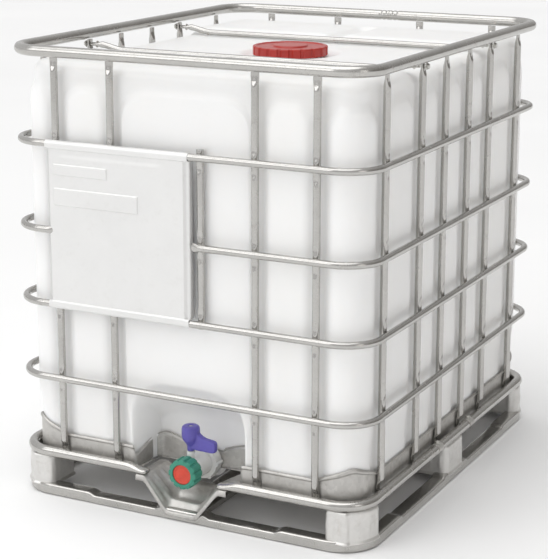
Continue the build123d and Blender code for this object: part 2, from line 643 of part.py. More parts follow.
def make_outlet_cap():
    """Green screw ring that holds a red closing disc and its seal on the valve's mouth."""
    with BuildPart() as ring:
        with BuildSketch(valve_plane(RING_BACK)):
            Circle(RING_R)
            with PolarLocations(RING_R - 1, RING_LUGS):
                Rectangle(6, 2 * pi * RING_R / RING_LUGS - 7)
        extrude(amount=RING_BACK - RING_FRONT)
        with BuildSketch(valve_plane(RING_BACK)):
            Circle(RING_INNER_R)
        extrude(amount=RING_BACK - RING_FRONT - 4, mode=Mode.SUBTRACT)
        with BuildSketch(valve_plane(RING_BACK)):
            Circle(RING_LIP_R)
        extrude(amount=60, mode=Mode.SUBTRACT)
    save(ring.part, "outlet_cap_ring")
    with BuildPart() as disc:
        with BuildSketch(valve_plane(BODY_FRONT - 2)):
            Circle(RING_INNER_R - 1)
        extrude(amount=4)
        with BuildSketch(valve_plane(BODY_FRONT - 6)):
            Circle(RING_LIP_R - 0.5)
        extrude(amount=2.5)
    save(disc.part, "outlet_cap_disc")
    with BuildPart() as seal:
        with BuildSketch(valve_plane(BODY_FRONT)):
            Circle(VALVE_R)
            Circle(VALVE_BORE, mode=Mode.SUBTRACT)
        extrude(amount=2)
    save(seal.part, "outlet_cap_seal")


make_cage()
make_cross_bars()
make_marking_plate()
make_pallet_frame()
make_feet()
make_valve_foot()
make_runners()
make_tray()
make_bottle()
make_filling_cap()
make_valve_body()
make_valve_spindle()
make_outlet_cap()
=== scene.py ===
"""Looks of a caged bulk liquid container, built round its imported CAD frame.

Lengths are in millimetres in the CAD's frame until make() turns them into metres.
"""

import math

import bmesh
import bpy
import numpy as np
from mathutils import Matrix, Vector


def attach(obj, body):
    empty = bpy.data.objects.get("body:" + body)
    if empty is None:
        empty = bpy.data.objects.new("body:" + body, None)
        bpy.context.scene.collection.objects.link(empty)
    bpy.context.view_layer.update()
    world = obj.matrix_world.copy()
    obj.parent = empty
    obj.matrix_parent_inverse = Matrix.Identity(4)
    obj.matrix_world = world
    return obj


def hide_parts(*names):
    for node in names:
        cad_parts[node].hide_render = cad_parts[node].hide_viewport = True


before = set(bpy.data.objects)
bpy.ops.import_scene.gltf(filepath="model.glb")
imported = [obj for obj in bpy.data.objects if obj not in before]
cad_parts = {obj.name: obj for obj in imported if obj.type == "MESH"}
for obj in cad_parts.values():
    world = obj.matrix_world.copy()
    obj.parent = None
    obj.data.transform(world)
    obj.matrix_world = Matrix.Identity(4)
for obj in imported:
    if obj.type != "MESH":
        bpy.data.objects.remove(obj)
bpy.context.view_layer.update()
SCENE = bpy.context.scene
ROOT = "container"

HALF_X, HALF_Y = 500.0, 600.0
RAIL_R, RAIL_Z, RAIL_BEND = 14.0, 1146.0, 86.0
HOOP_R, HOOP_INSET, HOOP_BEND = 9.0, 10.0, 91.0
HOOP_Z = (921.0, 704.0, 514.0, 320.0)
UPRIGHT_R, UPRIGHT_INSET = 9.0, 28.0
FRONT_X = (-356.0, -197.0, 197.0, 356.0)
BACK_X = (-350.0, -130.0, 130.0, 350.0)
SIDE_Y = (-447.0, -233.0, -80.0, 80.0, 233.0, 447.0)
PLATE_X = (-372.0, 30.0)
BAR_Y, BAR_LOW_Z, BAR_END_Z = 233.0, 1110.0, 1121.0
FRAME_R, FRAME_INSET, FRAME_BEND, FRAME_Z = 13.0, 16.0, 84.0, 116.0
RUNNER_H = 26.0
VALVE_Z, STEM_Y, RING_BACK_Y, DISC_Y = 122.0, -542.0, -553.6, -584.0
TRAY_X, TRAY_Y, TRAY_BEND = 462.0, 562.0, 66.0
RUNNER_INSET, RUNNER_BEND = 24.0, 80.0


# ---------------------------------------------------------------- helpers


def smooth(low, high, x):
    t = np.clip((np.asarray(x, float) - low) / (high - low), 0, 1)
    return t * t * (3 - 2 * t)


def bump(x, half):
    """1 at 0, easing to 0 at half either way."""
    return 1 - smooth(0, half, np.abs(x))


def wobble(x, y, z, size, seed=0.0):
    """Gentle, repeatable unevenness between about -1 and 1."""
    a, b, c = x / size, y / size, z / size
    return (
        np.sin(1.7 * a + 2.3 * c + seed)
        + np.sin(2.1 * b - 1.3 * a + 1.9 * seed)
        + np.sin(1.9 * c + 1.1 * b - 0.7 * seed)
    ) / 3


def rounded_rect(half_x, half_y, radius):
    """A function of arc length round a rounded rectangle, from the middle of the front towards +X.
    It gives points, outward normals and, as an attribute, the whole length."""
    a, b, q = half_x - radius, half_y - radius, math.pi * radius / 2
    runs = [
        ((0, -half_y), (1, 0), a),
        ((a, -b), -90, q),
        ((half_x, -b), (0, 1), 2 * b),
        ((a, b), 0, q),
        ((a, half_y), (-1, 0), 2 * a),
        ((-a, b), 90, q),
        ((-half_x, b), (0, -1), 2 * b),
        ((-a, -b), 180, q),
        ((-a, -half_y), (1, 0), a),
    ]
    total = sum(run[2] for run in runs)

    def at(s):
        s = np.mod(np.asarray(s, float), total)
        points, normals = np.zeros((len(s), 2)), np.zeros((len(s), 2))
        start = 0.0
        for origin, way, length in runs:
            here = (s >= start - 1e-9) & (s <= start + length + 1e-9)
            t = s[here] - start
            if isinstance(way, tuple):
                points[here] = np.array(origin) + np.outer(t, way)
                normals[here] = (way[1], -way[0])
            else:
                angle = math.radians(way) + t / radius
                normals[here] = np.stack([np.cos(angle), np.sin(angle)], 1)
                points[here] = np.array(origin) + radius * normals[here]
            start += length
        return points, normals

    at.length = total
    at.corners = [a + q / 2, a + 1.5 * q + 2 * b, 3 * a + 2.5 * q + 2 * b, 3 * a + 3.5 * q + 4 * b]
    at.back_mid = 2 * a + 2 * q + 2 * b
    return at


def grid_faces(rows, columns, wrap=False, start=0, flip=False):
    r, c = np.meshgrid(np.arange(rows - 1), np.arange(columns if wrap else columns - 1), indexing="ij")
    n = (c + 1) % columns
    quads = np.stack([r * columns + c, r * columns + n, (r + 1) * columns + n, (r + 1) * columns + c], -1)
    quads = quads.reshape(-1, 4) + start
    return (quads[:, ::-1] if flip else quads).tolist()


def make(name, verts, faces, material, slot, body=ROOT, replaces=(), sharp=40):
    """A mesh object from millimetre points, smooth but for edges sharper than that many degrees."""
    mesh = bpy.data.meshes.new(name)
    mesh.from_pydata((np.asarray(verts, float) / 1000).tolist(), [], faces)
    mesh.update()
    bm = bmesh.new()
    bm.from_mesh(mesh)
    bmesh.ops.remove_doubles(bm, verts=bm.verts, dist=1e-6)
    bmesh.ops.recalc_face_normals(bm, faces=bm.faces)
    bm.to_mesh(mesh)
    bm.free()
    mesh.shade_smooth()
    if sharp:
        mesh.set_sharp_from_angle(angle=math.radians(sharp))
    ob = bpy.data.objects.new(name, mesh)
    SCENE.collection.objects.link(ob)
    mesh.materials.append(material)
    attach(ob, body)
    if replaces:
        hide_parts(*replaces)
    return ob


def bake(ob):
    """Turns the modifiers of ob into its mesh."""
    bpy.context.view_layer.update()
    made = bpy.data.meshes.new_from_object(ob.evaluated_get(bpy.context.evaluated_depsgraph_get()))
    ob.modifiers.clear()
    ob.data = made
    return ob


def thicken(ob, thickness, offset=-1.0, even=True):
    m = ob.modifiers.new("thickness", "SOLIDIFY")
    m.thickness = thickness / 1000
    m.offset = offset
    m.use_even_offset = even
    return bake(ob)


def frames(points, up):
    """Side and up vectors along a path, up kept near the one given."""
    tangent = np.gradient(points, axis=0)
    tangent /= np.linalg.norm(tangent, axis=1)[:, None]
    up = np.broadcast_to(np.asarray(up, float), points.shape)
    side = np.cross(tangent, up)
    side /= np.linalg.norm(side, axis=1)[:, None]
    return side, np.cross(side, tangent)


def sweep(points, section, up=(0, 0, 1), closed=False, caps=True):
    """Vertices and faces of sections (N x M x 2, side and up) carried along N points."""
    points = np.asarray(points, float)
    if closed:
        wide = np.concatenate([points[-1:], points, points[:1]])
        side, above = (v[1:-1] for v in frames(wide, up))
    else:
        side, above = frames(points, up)
    count, around = section.shape[0], section.shape[1]
    rings = points[:, None] + section[..., :1] * side[:, None] + section[..., 1:] * above[:, None]
    verts = rings.reshape(-1, 3)
    faces = grid_faces(count, around, wrap=True)
    if closed:
        last = (count - 1) * around
        faces += [[last + i, last + (i + 1) % around, (i + 1) % around, i] for i in range(around)]
    elif caps:
        faces += [list(range(around))[::-1], list(range((count - 1) * around, count * around))]
    return verts, faces


def circle(radius, count=24):
    angle = np.arange(count) / count * 2 * math.pi
    return np.stack([np.cos(angle), np.sin(angle)], 1) * radius


def lathe(profile, columns, wave=None):
    """Points (radius, height) turned round +Z. wave(angle, row) scales the radius.

    Ends at radius 0 are closed.
    """
    profile = np.asarray(profile, float)
    angle = np.arange(columns) / columns * 2 * math.pi
    verts = []
    for row, (radius, height) in enumerate(profile):
        r = np.full(columns, radius) if wave is None else wave(angle, row, radius)
        verts.append(np.stack([r * np.cos(angle), r * np.sin(angle), np.full(columns, height)], 1))
    return np.concatenate(verts), grid_faces(len(profile), columns, wrap=True)


def arc(centre, radius, start, end, steps):
    """Points on an arc in a profile plane, in degrees."""
    a = np.radians(np.linspace(start, end, steps))
    return [(centre[0] + radius * math.cos(t), centre[1] + radius * math.sin(t)) for t in a]


def along_valve(verts, y):
    """Points turned so that +Z becomes -Y, with 0 at y on the valve's axis."""
    v = np.asarray(verts, float)
    return np.stack([v[:, 0], y - v[:, 2], VALVE_Z + v[:, 1]], 1)


# ---------------------------------------------------------------- materials


class Nodes:
    """Short calls for building one material's nodes."""

    def __init__(self, name):
        self.material = bpy.data.materials.new(name)
        self.material.use_nodes = True
        self.tree = self.material.node_tree
        self.shader = self.tree.nodes["Principled BSDF"]
        coordinate = self.tree.nodes.new("ShaderNodeTexCoord")
        self.place = coordinate.outputs["Object"]

    def new(self, kind, inputs=None, **settings):
        node = self.tree.nodes.new(kind)
        for key, value in settings.items():
            setattr(node, key, value)
        for key, value in (inputs or {}).items():
            if isinstance(value, bpy.types.NodeSocket):
                self.tree.links.new(value, node.inputs[key])
            else:
                node.inputs[key].default_value = value
        return node

    def stretch(self, scale):
        return self.new("ShaderNodeMapping", {"Vector": self.place, "Scale": scale}).outputs[0]

    def noise(self, scale, detail=3.0, rough=0.5, vector=None):
        inputs = {"Vector": vector or self.place, "Scale": scale, "Detail": detail, "Roughness": rough}
        return self.new("ShaderNodeTexNoise", inputs).outputs[0]

    def cells(self, scale, feature="F1", output="Color", vector=None):
        inputs = {"Vector": vector or self.place, "Scale": scale}
        node = self.new("ShaderNodeTexVoronoi", inputs, feature=feature)
        return node.outputs[output]

    def ramp(self, value, stops):
        node = self.new("ShaderNodeValToRGB", {"Fac": value})
        marks = node.color_ramp.elements
        while len(marks) < len(stops):
            marks.new(0.5)
        for mark, (position, colour) in zip(marks, stops):
            mark.position = position
            mark.color = (*colour, 1) if isinstance(colour, tuple) else (colour, colour, colour, 1)
        return node.outputs[0]

    def math(self, operation, a, b=0.0, c=0.0):
        return self.new("ShaderNodeMath", {0: a, 1: b, 2: c}, operation=operation).outputs[0]

    def mix(self, factor, a, b, blend="MIX"):
        node = self.new("ShaderNodeMix", {0: factor, 6: a, 7: b}, data_type="RGBA", blend_type=blend)
        return node.outputs[2]

    def bump(self, height, strength, distance):
        inputs = {"Height": height, "Strength": strength, "Distance": distance}
        return self.new("ShaderNodeBump", inputs).outputs[0]

    def set(self, **values):
        names = {
            "colour": "Base Color",
            "rough": "Roughness",
            "normal": "Normal",
            "metal": "Metallic",
            "coat": "Coat Weight",
            "coat_rough": "Coat Roughness",
            "sub": "Subsurface Weight",
            "sub_radius": "Subsurface Radius",
            "sub_scale": "Subsurface Scale",
            "specular": "Specular IOR Level",
        }
        for key, value in values.items():
            socket = self.shader.inputs[names[key]]
            if isinstance(value, bpy.types.NodeSocket):
                self.tree.links.new(value, socket)
            else:
                socket.default_value = value
        return self.material


def galvanised(name, tone, spangle, rough, dirt, strength=0.25, mottle=0.30, metal=0.92, spread=0.16):
    """Zinc coating: crystal cells with their own tone and gloss, soft streaks, dull spots and a few marks."""
    n = Nodes(name)
    cells = n.new("ShaderNodeSeparateColor", {0: n.cells(spangle)}).outputs
    clouds = n.noise(9.0, 5.0, 0.6)
    grime = n.noise(38.0, 6.0, 0.65)
    level = n.math("ADD", n.math("MULTIPLY", cells[0], mottle), n.math("MULTIPLY", clouds, 1 - mottle))
    dull, bright = (tuple(min(1, t * (1 + change)) for t in tone) for change in (-spread, spread))
    base = n.ramp(level, [(0.25, dull), (0.75, bright)])
    spots = n.ramp(grime, [(0.56, 0.0), (0.72, 1.0)])
    warm = (tone[0] * 0.62, tone[1] * 0.57, tone[2] * 0.50, 1)
    colour = n.mix(n.math("MULTIPLY", spots, dirt), base, warm)
    roughness = n.math(
        "ADD",
        n.math("MULTIPLY", cells[1], 0.4 * mottle),
        n.math(
            "ADD",
            n.math("MULTIPLY", spots, 0.14),
            n.math("MULTIPLY_ADD", clouds, 0.5 * rough, 0.45 * rough),
        ),
    )
    fine = n.noise(420.0, 2.0)
    height = n.math("ADD", n.math("MULTIPLY", clouds, 0.5), n.math("MULTIPLY", fine, 0.5))
    normal = n.bump(height, strength, 0.0004)
    return n.set(colour=colour, rough=roughness, metal=metal, normal=normal)


def moulded(name, colour, rough, grain=600.0, variation=0.12, strength=0.12, sub=0.0, coat=0.0):
    """Injection moulded plastic: faint flow clouds, fine skin texture, scuffs that lift the roughness."""
    n = Nodes(name)
    clouds = n.noise(24.0, 4.0, 0.55)
    dark = tuple(c * (1 - variation) for c in colour)
    light = tuple(min(1, c * (1 + variation)) for c in colour)
    base = n.ramp(clouds, [(0.3, dark), (0.7, light)])
    scuff = n.ramp(n.noise(90.0, 6.0, 0.7), [(0.5, 0.0), (0.75, 1.0)])
    roughness = n.math("ADD", rough, n.math("MULTIPLY", scuff, 0.16))
    normal = n.bump(n.noise(grain, 2.0), strength, 0.0003)
    made = n.set(colour=base, rough=roughness, normal=normal, coat=coat)
    if sub:
        n.set(sub=sub, sub_radius=(0.5, 0.45, 0.4), sub_scale=0.004)
    return made


def polyethylene(name):
    """Blow moulded natural polyethylene: milky and waxy, with faint flow lines, clouds and handling marks."""
    n = Nodes(name)
    streaks = n.noise(6.0, 4.0, 0.5, n.stretch((1.0, 1.0, 0.16)))
    clouds = n.noise(3.2, 3.0, 0.5)
    level = n.math("ADD", n.math("MULTIPLY", streaks, 0.5), n.math("MULTIPLY", clouds, 0.5))
    base = n.ramp(level, [(0.32, (0.915, 0.91, 0.895)), (0.68, (0.955, 0.955, 0.95))])
    scuff = n.ramp(n.noise(55.0, 7.0, 0.7), [(0.55, 0.0), (0.78, 1.0)])
    colour = n.mix(n.math("MULTIPLY", scuff, 0.10), base, (0.78, 0.77, 0.75, 1))
    roughness = n.math("ADD", 0.30, n.math("MULTIPLY", n.math("ADD", scuff, streaks), 0.12))
    ripple = n.math(
        "ADD",
        n.math("MULTIPLY", n.noise(14.0, 3.0), 0.8),
        n.math("MULTIPLY", n.noise(260.0, 2.0), 0.2),
    )
    normal = n.bump(ripple, 0.12, 0.003)
    return n.set(
        colour=colour,
        rough=roughness,
        normal=normal,
        sub=0.35,
        sub_radius=(1.0, 0.95, 0.9),
        sub_scale=0.02,
        specular=0.45,
    )


TUBE = galvanised("galvanised_tube_zinc", (0.50, 0.49, 0.472), 210.0, 0.27, 0.12, 0.04, 0.08, spread=0.10)
RAIL = galvanised("galvanised_rail_zinc", (0.50, 0.49, 0.47), 190.0, 0.27, 0.14, 0.05, 0.10, spread=0.12)
SHEET = galvanised("galvanised_sheet_zinc", (0.58, 0.567, 0.545), 95.0, 0.66, 0.30, 0.16, 0.20)
FOOT = galvanised("galvanised_foot_zinc", (0.74, 0.73, 0.71), 95.0, 0.62, 0.16, 0.10, 0.14, spread=0.08)
PLATE = galvanised("marking_plate_zinc", (0.80, 0.798, 0.79), 120.0, 0.60, 0.04, 0.03, 0.06, 0.55, 0.03)
ZINC = galvanised("zinc_plated_bolt", (0.60, 0.59, 0.56), 600.0, 0.30, 0.35)
BOTTLE = polyethylene("bottle_polyethylene")
RED_CAP = moulded("cap_red_moulding", (0.43, 0.026, 0.017), 0.36, variation=0.10, coat=0.15)
RED_DISC = moulded("disc_red_moulding", (0.66, 0.065, 0.035), 0.40)
GREEN = moulded("ring_green_moulding", (0.045, 0.27, 0.19), 0.38)
BLUE = moulded("lever_blue_moulding", (0.105, 0.085, 0.40), 0.36, coat=0.1)
WHITE = moulded("valve_white_moulding", (0.80, 0.80, 0.78), 0.40, variation=0.05, sub=0.15)
GREY = moulded("spindle_moulding", (0.62, 0.62, 0.60), 0.42, variation=0.06)
RUBBER = moulded("seal_rubber", (0.02, 0.02, 0.02), 0.62, grain=900.0, strength=0.3)

# ---------------------------------------------------------------- cage

TUBE_SLOT, SHEET_SLOT = "galvanised_tube", "galvanised_sheet"


def upright(name, x, y, outward, bottom, top, hoops, squashed_top=True, tab=True):
    """A cage tube along Z, crimped beside each hoop, flattened under the rail, flat and stepped in below."""
    marks = [bottom, top]
    z = np.arange(bottom, top, 24.0)
    for level in hoops:
        z = np.concatenate([z, level + np.linspace(-44, 44, 45)])
    z = np.concatenate([z, np.linspace(top - 40, top, 17), np.linspace(bottom, bottom + 56, 20), marks])
    z = np.unique(np.round(z[(z >= bottom) & (z <= top)], 2))
    angle = np.arange(28) / 28 * 2 * math.pi
    wide = np.broadcast_to(np.cos(angle) * UPRIGHT_R, (len(z), 28)).copy()
    out = np.broadcast_to(np.sin(angle) * UPRIGHT_R, (len(z), 28)).copy()
    for level in hoops:
        dent = np.exp(-(((np.abs(z - level) - 27) / 12.0) ** 2))[:, None]
        limit = UPRIGHT_R - 3.4 * dent + 0.02 * wide**2 * dent
        out = np.where(out > limit, limit, out)
        wide = wide * (1 + 0.05 * dent)
        pinch = np.exp(-(((z - level) / 9) ** 2))[:, None]
        out = np.where(out > UPRIGHT_R - 1.0 * pinch, UPRIGHT_R - 1.0 * pinch, out)
    if squashed_top:
        flat = smooth(top - 34, top - 10, z)[:, None]
        out = out * (1 - 0.58 * flat)
        wide = wide * (1 + 0.24 * flat)
        dimple = np.exp(-(((z - (top - 25)) / 7) ** 2))[:, None] * np.exp(-((wide / 5) ** 2))
        out = np.where(out > 0, out - 2.6 * dimple, out)
    if tab:
        flat = 1 - smooth(bottom + 26, bottom + 46, z)[:, None]
        out = out * (1 - 0.76 * flat) - 6.0 * flat
        wide = wide * (1 + 0.24 * flat)
    across = np.array([-outward[1], outward[0]], float)
    outward = np.array(outward, float)
    plan = np.array([x, y]) + wide[..., None] * across + out[..., None] * outward
    verts = np.concatenate([plan, np.broadcast_to(z[:, None, None], (*wide.shape, 1))], -1).reshape(-1, 3)
    faces = grid_faces(len(z), 28, wrap=True)
    faces += [list(range(28))[::-1], list(range((len(z) - 1) * 28, len(z) * 28))]
    return make(name + "_tube", verts, faces, TUBE, TUBE_SLOT, replaces=[name], sharp=50)


def make_uprights():
    bottom, top = 103.5, 1133.0
    for number, x in enumerate(FRONT_X, 1):
        hoops = [z for z in HOOP_Z if not (PLATE_X[0] < x < PLATE_X[1] and z == HOOP_Z[1])]
        upright(f"front_upright_{number}", x, -HALF_Y + UPRIGHT_INSET, (0, -1), bottom, top, hoops)
    for number, x in enumerate(BACK_X, 1):
        upright(f"back_upright_{number}", x, HALF_Y - UPRIGHT_INSET, (0, 1), bottom, top, HOOP_Z)
    for side, word in ((-1, "left"), (1, "right")):
        for number, y in enumerate(SIDE_Y, 1):
            at_x = side * (HALF_X - UPRIGHT_INSET)
            upright(f"{word}_upright_{number}", at_x, y, (side, 0), bottom, top, HOOP_Z)
    upright("plate_upright", 51.0, -HALF_Y + UPRIGHT_INSET, (0, -1), 500.0, 938.0, HOOP_Z[:3], False, False)


def loop_samples(at, step, dense=()):
    s = np.arange(0, at.length, step)
    for middle in at.corners:
        s = np.concatenate([s, middle + np.linspace(-75, 75, 31)])
    for centre, half, gap in dense:
        s = np.concatenate([s, np.mod(np.arange(centre - half, centre + half, gap), at.length)])
    return np.unique(np.round(s, 2))


def weld_marks(at):
    """Arc lengths at which a loop meets the uprights."""
    a, q = at.corners[0] - at.quarter / 2, at.quarter
    half_y = at.side_len / 2
    marks = [x % at.length for x in FRONT_X]
    marks += [a + q + half_y + y for y in SIDE_Y]
    marks += [at.back_mid - x for x in BACK_X]
    marks += [at.length - a - q - half_y - y for y in SIDE_Y]
    return marks


def ring_path(half_x, half_y, bend):
    at = rounded_rect(half_x, half_y, bend)
    at.quarter = math.pi * bend / 2
    at.side_len = 2 * (half_y - bend)
    return at


def make_hoops():
    at = ring_path(HALF_X - HOOP_INSET, HALF_Y - HOOP_INSET, HOOP_BEND)
    marks = weld_marks(at)
    for number, z in enumerate(HOOP_Z, 1):
        s = loop_samples(at, 22.0, [(m, 14, 2.5) for m in marks])
        gap = number == 2
        if gap:
            start, end = 35.0, at.length - 350.0
            s = s[(s > start) & (s < end)]
            s = np.concatenate([start + np.array([0.0, 1.2, 3.5, 7, 11, 16, 22, 28]), s[s > start + 30]])
            s = np.concatenate([s[s < end - 30], end - np.array([28, 22, 16, 11, 7, 3.5, 1.2, 0.0])])
        plan, _ = at(s)
        section = np.broadcast_to(circle(HOOP_R, 24), (len(s), 24, 2)).copy()
        for mark in marks:
            away = np.mod(s - mark + at.length / 2, at.length) - at.length / 2
            pinch = np.exp(-((away / 6) ** 2))[:, None]
            width = section[..., 0]
            section[..., 0] = np.where(width < 0, width * (1 - 0.12 * pinch), width)
        if gap:
            for distance in (s - start, end - s):
                close = (1 - smooth(0, 26, distance))[:, None]
                section[..., 0] *= 1 - 0.62 * close
                section[..., 1] *= 1 + 0.30 * close
                tip = 1 - np.sqrt(np.clip(1 - (1 - np.clip(distance / 7, 0, 1)) ** 2, 0, 1))[:, None]
                section[..., 1] *= 1 - 0.75 * tip
                section[..., 0] *= 1 - 0.5 * tip
        points = np.column_stack([plan, np.full(len(s), z)])
        verts, faces = sweep(points, section, closed=not gap)
        make(f"cage_hoop_{number}_tube", verts, faces, TUBE, TUBE_SLOT, replaces=[f"cage_hoop_{number}"])


def make_rail():
    at = ring_path(HALF_X - RAIL_R, HALF_Y - RAIL_R, RAIL_BEND)
    joint = at.back_mid - 30.0
    s = loop_samples(at, 20.0, [(m, 16, 3.0) for m in weld_marks(at)] + [(joint, 46, 2.0)])
    plan, _ = at(s)
    section = np.broadcast_to(circle(RAIL_R, 32), (len(s), 32, 2)).copy()
    for mark in weld_marks(at):
        away = np.mod(s - mark + at.length / 2, at.length) - at.length / 2
        dent = np.exp(-((away / 9) ** 2))[:, None]
        floor = -RAIL_R + 1.3 * dent
        section[..., 1] = np.where(section[..., 1] < floor, floor, section[..., 1])
    away = s - joint
    for offset in (-24, -10, 10, 24):
        crimp = np.exp(-(((away - offset) / 3.2) ** 2))[:, None]
        section *= 1 - 0.10 * crimp[..., None]
    slit = np.exp(-((away / 1.2) ** 2))[:, None]
    section *= 1 - 0.07 * slit[..., None]
    points = np.column_stack([plan, np.full(len(s), RAIL_Z)])
    verts, faces = sweep(points, section, closed=True)
    make("top_rail_tube", verts, faces, RAIL, TUBE_SLOT, replaces=["top_rail"])
    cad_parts["rail_joint_insert"].data.materials[0] = TUBE


def make_bars():
    """Hold-down bars over the bottle, their ends flattened and bolted to the uprights."""
    for side, word in ((-1, "front"), (1, "back")):
        x = np.concatenate([np.linspace(-462.6, -368, 50), np.linspace(-366, 0, 60)])
        x = np.unique(np.round(np.concatenate([x, -x]), 3))
        lift = smooth(370, 440, np.abs(x))
        points = np.column_stack([x, np.full(len(x), side * BAR_Y), BAR_LOW_Z + (BAR_END_Z - BAR_LOW_Z) * lift])
        section = np.broadcast_to(circle(8.0, 24), (len(x), 24, 2)).copy()
        for end in (-1, 1):
            close = smooth(424, 444, end * x)[:, None]
            section[..., 1] *= 1 + 0.30 * close
        flat = smooth(428, 450, np.abs(x))[:, None]
        section[..., 0] *= 1 + 0.35 * flat
        section[..., 1] *= 1 - 0.55 * flat
        verts, faces = sweep(points, section)
        make(f"cross_bar_{word}_tube", verts, faces, TUBE, TUBE_SLOT, replaces=[f"cross_bar_{word}"])


def hexagon_bolts(name, seats, head_r, head_h, washer_r, shank_r, shank, replaces):
    """Hexagon heads with washers. Each seat is a point and the way that its head faces."""
    bm = bmesh.new()
    for point, way in seats:
        turn = Vector(way).to_track_quat("Z", "Y").to_matrix().to_4x4()
        place = Matrix.Translation(Vector(point)) @ turn
        for radius, low, high, sides, ease in (
            (washer_r, 0.0, 1.6, 32, 0.3),
            (head_r, 1.6, 1.6 + head_h, 6, 0.7),
            (shank_r, -shank, 0.2, 16, 0.2),
        ):
            part = bmesh.ops.create_cone(
                bm, cap_ends=True, segments=sides, radius1=radius, radius2=radius, depth=high - low
            )
            raised = Matrix.Translation((0, 0, (low + high) / 2))
            bmesh.ops.transform(bm, matrix=place @ raised, verts=part["verts"])
            edges = list(dict.fromkeys(e for v in part["verts"] for e in v.link_edges))
            bmesh.ops.bevel(bm, geom=edges, offset=ease, segments=2, affect="EDGES", profile=0.6)
    verts = [list(v.co) for v in bm.verts]
    faces = [[v.index for v in f.verts] for f in bm.faces]
    bm.free()
    return make(name, verts, faces, ZINC, "zinc_fastener", replaces=replaces)


def make_bolts():
    outer = HALF_X - UPRIGHT_INSET + UPRIGHT_R
    seats = [((sx * outer, sy * BAR_Y, BAR_END_Z), (sx, 0, 0)) for sx in (-1, 1) for sy in (-1, 1)]
    seats += [((sx * 450.0, sy * BAR_Y, BAR_END_Z), (-sx, 0, 0)) for sx in (-1, 1) for sy in (-1, 1)]
    hexagon_bolts("cross_bar_bolt_set", seats, 7.0, 5.0, 9.0, 4.0, 14.0, ["cross_bar_bolts"])
    seats = [((sx * (HALF_X - FRAME_INSET), y, 131.0), (0, 0, 1)) for sx in (-1, 1) for y in (-110.0, 110.0)]
    hexagon_bolts("cage_clamp_bolt_set", seats, 6.5, 4.0, 8.5, 3.0, 10.0, ["cage_clamp_bolts"])


def make_marking_plate():
    """Galvanised sheet wrapped over hoop 1 and under hoop 3, with raised frames round two blank fields."""
    left, right = PLATE_X
    front, wrap = -HALF_Y + 1.4, 9.4
    centre_y = -HALF_Y + HOOP_INSET + 0.35
    top, bottom = HOOP_Z[0], HOOP_Z[2]
    over, under = np.radians(np.linspace(62, -84, 26)), np.radians(np.linspace(84, -62, 26))
    profile = [(centre_y + wrap * math.sin(t), top + wrap * math.cos(t)) for t in over]
    fields = [(-350.0, -196.0, 846.0, 872.0), (-350.0, -110.0, 770.0, 812.0)]
    near = np.array([-3.0, -1.2, -0.4, 0.4, 1.2, 3.0])
    field_z = [edge + near for f in fields for edge in f[2:]]
    flat_z = np.concatenate([np.arange(bottom + 4, top - 3, 4.0)] + field_z)
    flat_z = np.concatenate([flat_z, bottom + 11 + near, top - 11 + near])
    flat_z = np.unique(np.round(flat_z, 2))[::-1]
    profile += [(front, z) for z in flat_z]
    profile += [(centre_y - wrap * math.sin(t), bottom - wrap * math.cos(t)) for t in under]
    profile = np.array(profile)
    field_x = [edge + near for f in fields for edge in f[:2]]
    x = np.concatenate([np.arange(left + 10, right - 15, 4.0)] + field_x)
    x = np.unique(np.round(x, 2))
    edge_left = [(left, 9.0), (left + 0.4, 6.6), (left + 2.0, 5.0), (left + 7.0, 5.0), (left + 8.2, 0.0)]
    edge_right = [(right - 13.4, 0.0), (right - 12.2, 6.0), (right - 4.0, 6.0), (right - 1.4, 6.8)]
    edge_right += [(right, 9.5), (right, 15.0), (right, 22.0)]
    columns = edge_left + [(v, 0.0) for v in x] + edge_right
    px = np.array([c[0] for c in columns])
    deep = np.array([c[1] for c in columns])
    y = np.broadcast_to(profile[:, :1], (len(profile), len(px))).copy()
    z = np.broadcast_to(profile[:, 1:], y.shape).copy()
    gx = np.broadcast_to(px, y.shape).copy()
    middle = smooth(bottom + 9, bottom + 12, z) * (1 - smooth(top - 12, top - 9, z))
    y += deep * middle
    raised = np.zeros_like(y)

    for x0, x1, z0, z1 in fields:
        inside_x = smooth(x0 - 1, x0 + 1, gx) * (1 - smooth(x1 - 1, x1 + 1, gx))
        raised += 5.0 * inside_x * smooth(z0 - 1, z0 + 1, z) * (1 - smooth(z1 - 1, z1 + 1, z))
    crease = smooth(882, 887, z) * (1 - smooth(887, 899, z))
    crease = crease * smooth(-345, -320, gx) * (1 - smooth(-60, -30, gx))
    raised += 4.0 * crease
    raised += 0.9 * wobble(gx, z, z, 95.0, 1.3) * middle
    dish = 1.4 * bump((gx - (left + right) / 2) / 200, 1.0) * bump((z - 640) / 130, 1.0)
    y += -0.6 * raised * middle + dish * middle + 4.4 * middle
    verts = np.stack([gx, y, z], -1).reshape(-1, 3)
    ob = make(
        "marking_plate_sheet",
        verts,
        grid_faces(len(profile), len(px)),
        PLATE,
        SHEET_SLOT,
        replaces=["marking_plate"],
        sharp=0,
    )
    thicken(ob, 0.8, 0.0, even=False)


# ---------------------------------------------------------------- bottle

B_X, B_Y, B_R = 459.0, 559.0, 62.0
B_LOW, B_TOP, B_EDGE, B_LOW_EDGE = 106.0, 1118.0, 30.0, 28.0
CHANNEL_Z, RECESS_Z = 1100.0, 1090.0
NECK_R = 84.0
NICHE_HALF, NICHE_TOP, NICHE_DEPTH = 160.0, 342.0, 106.0


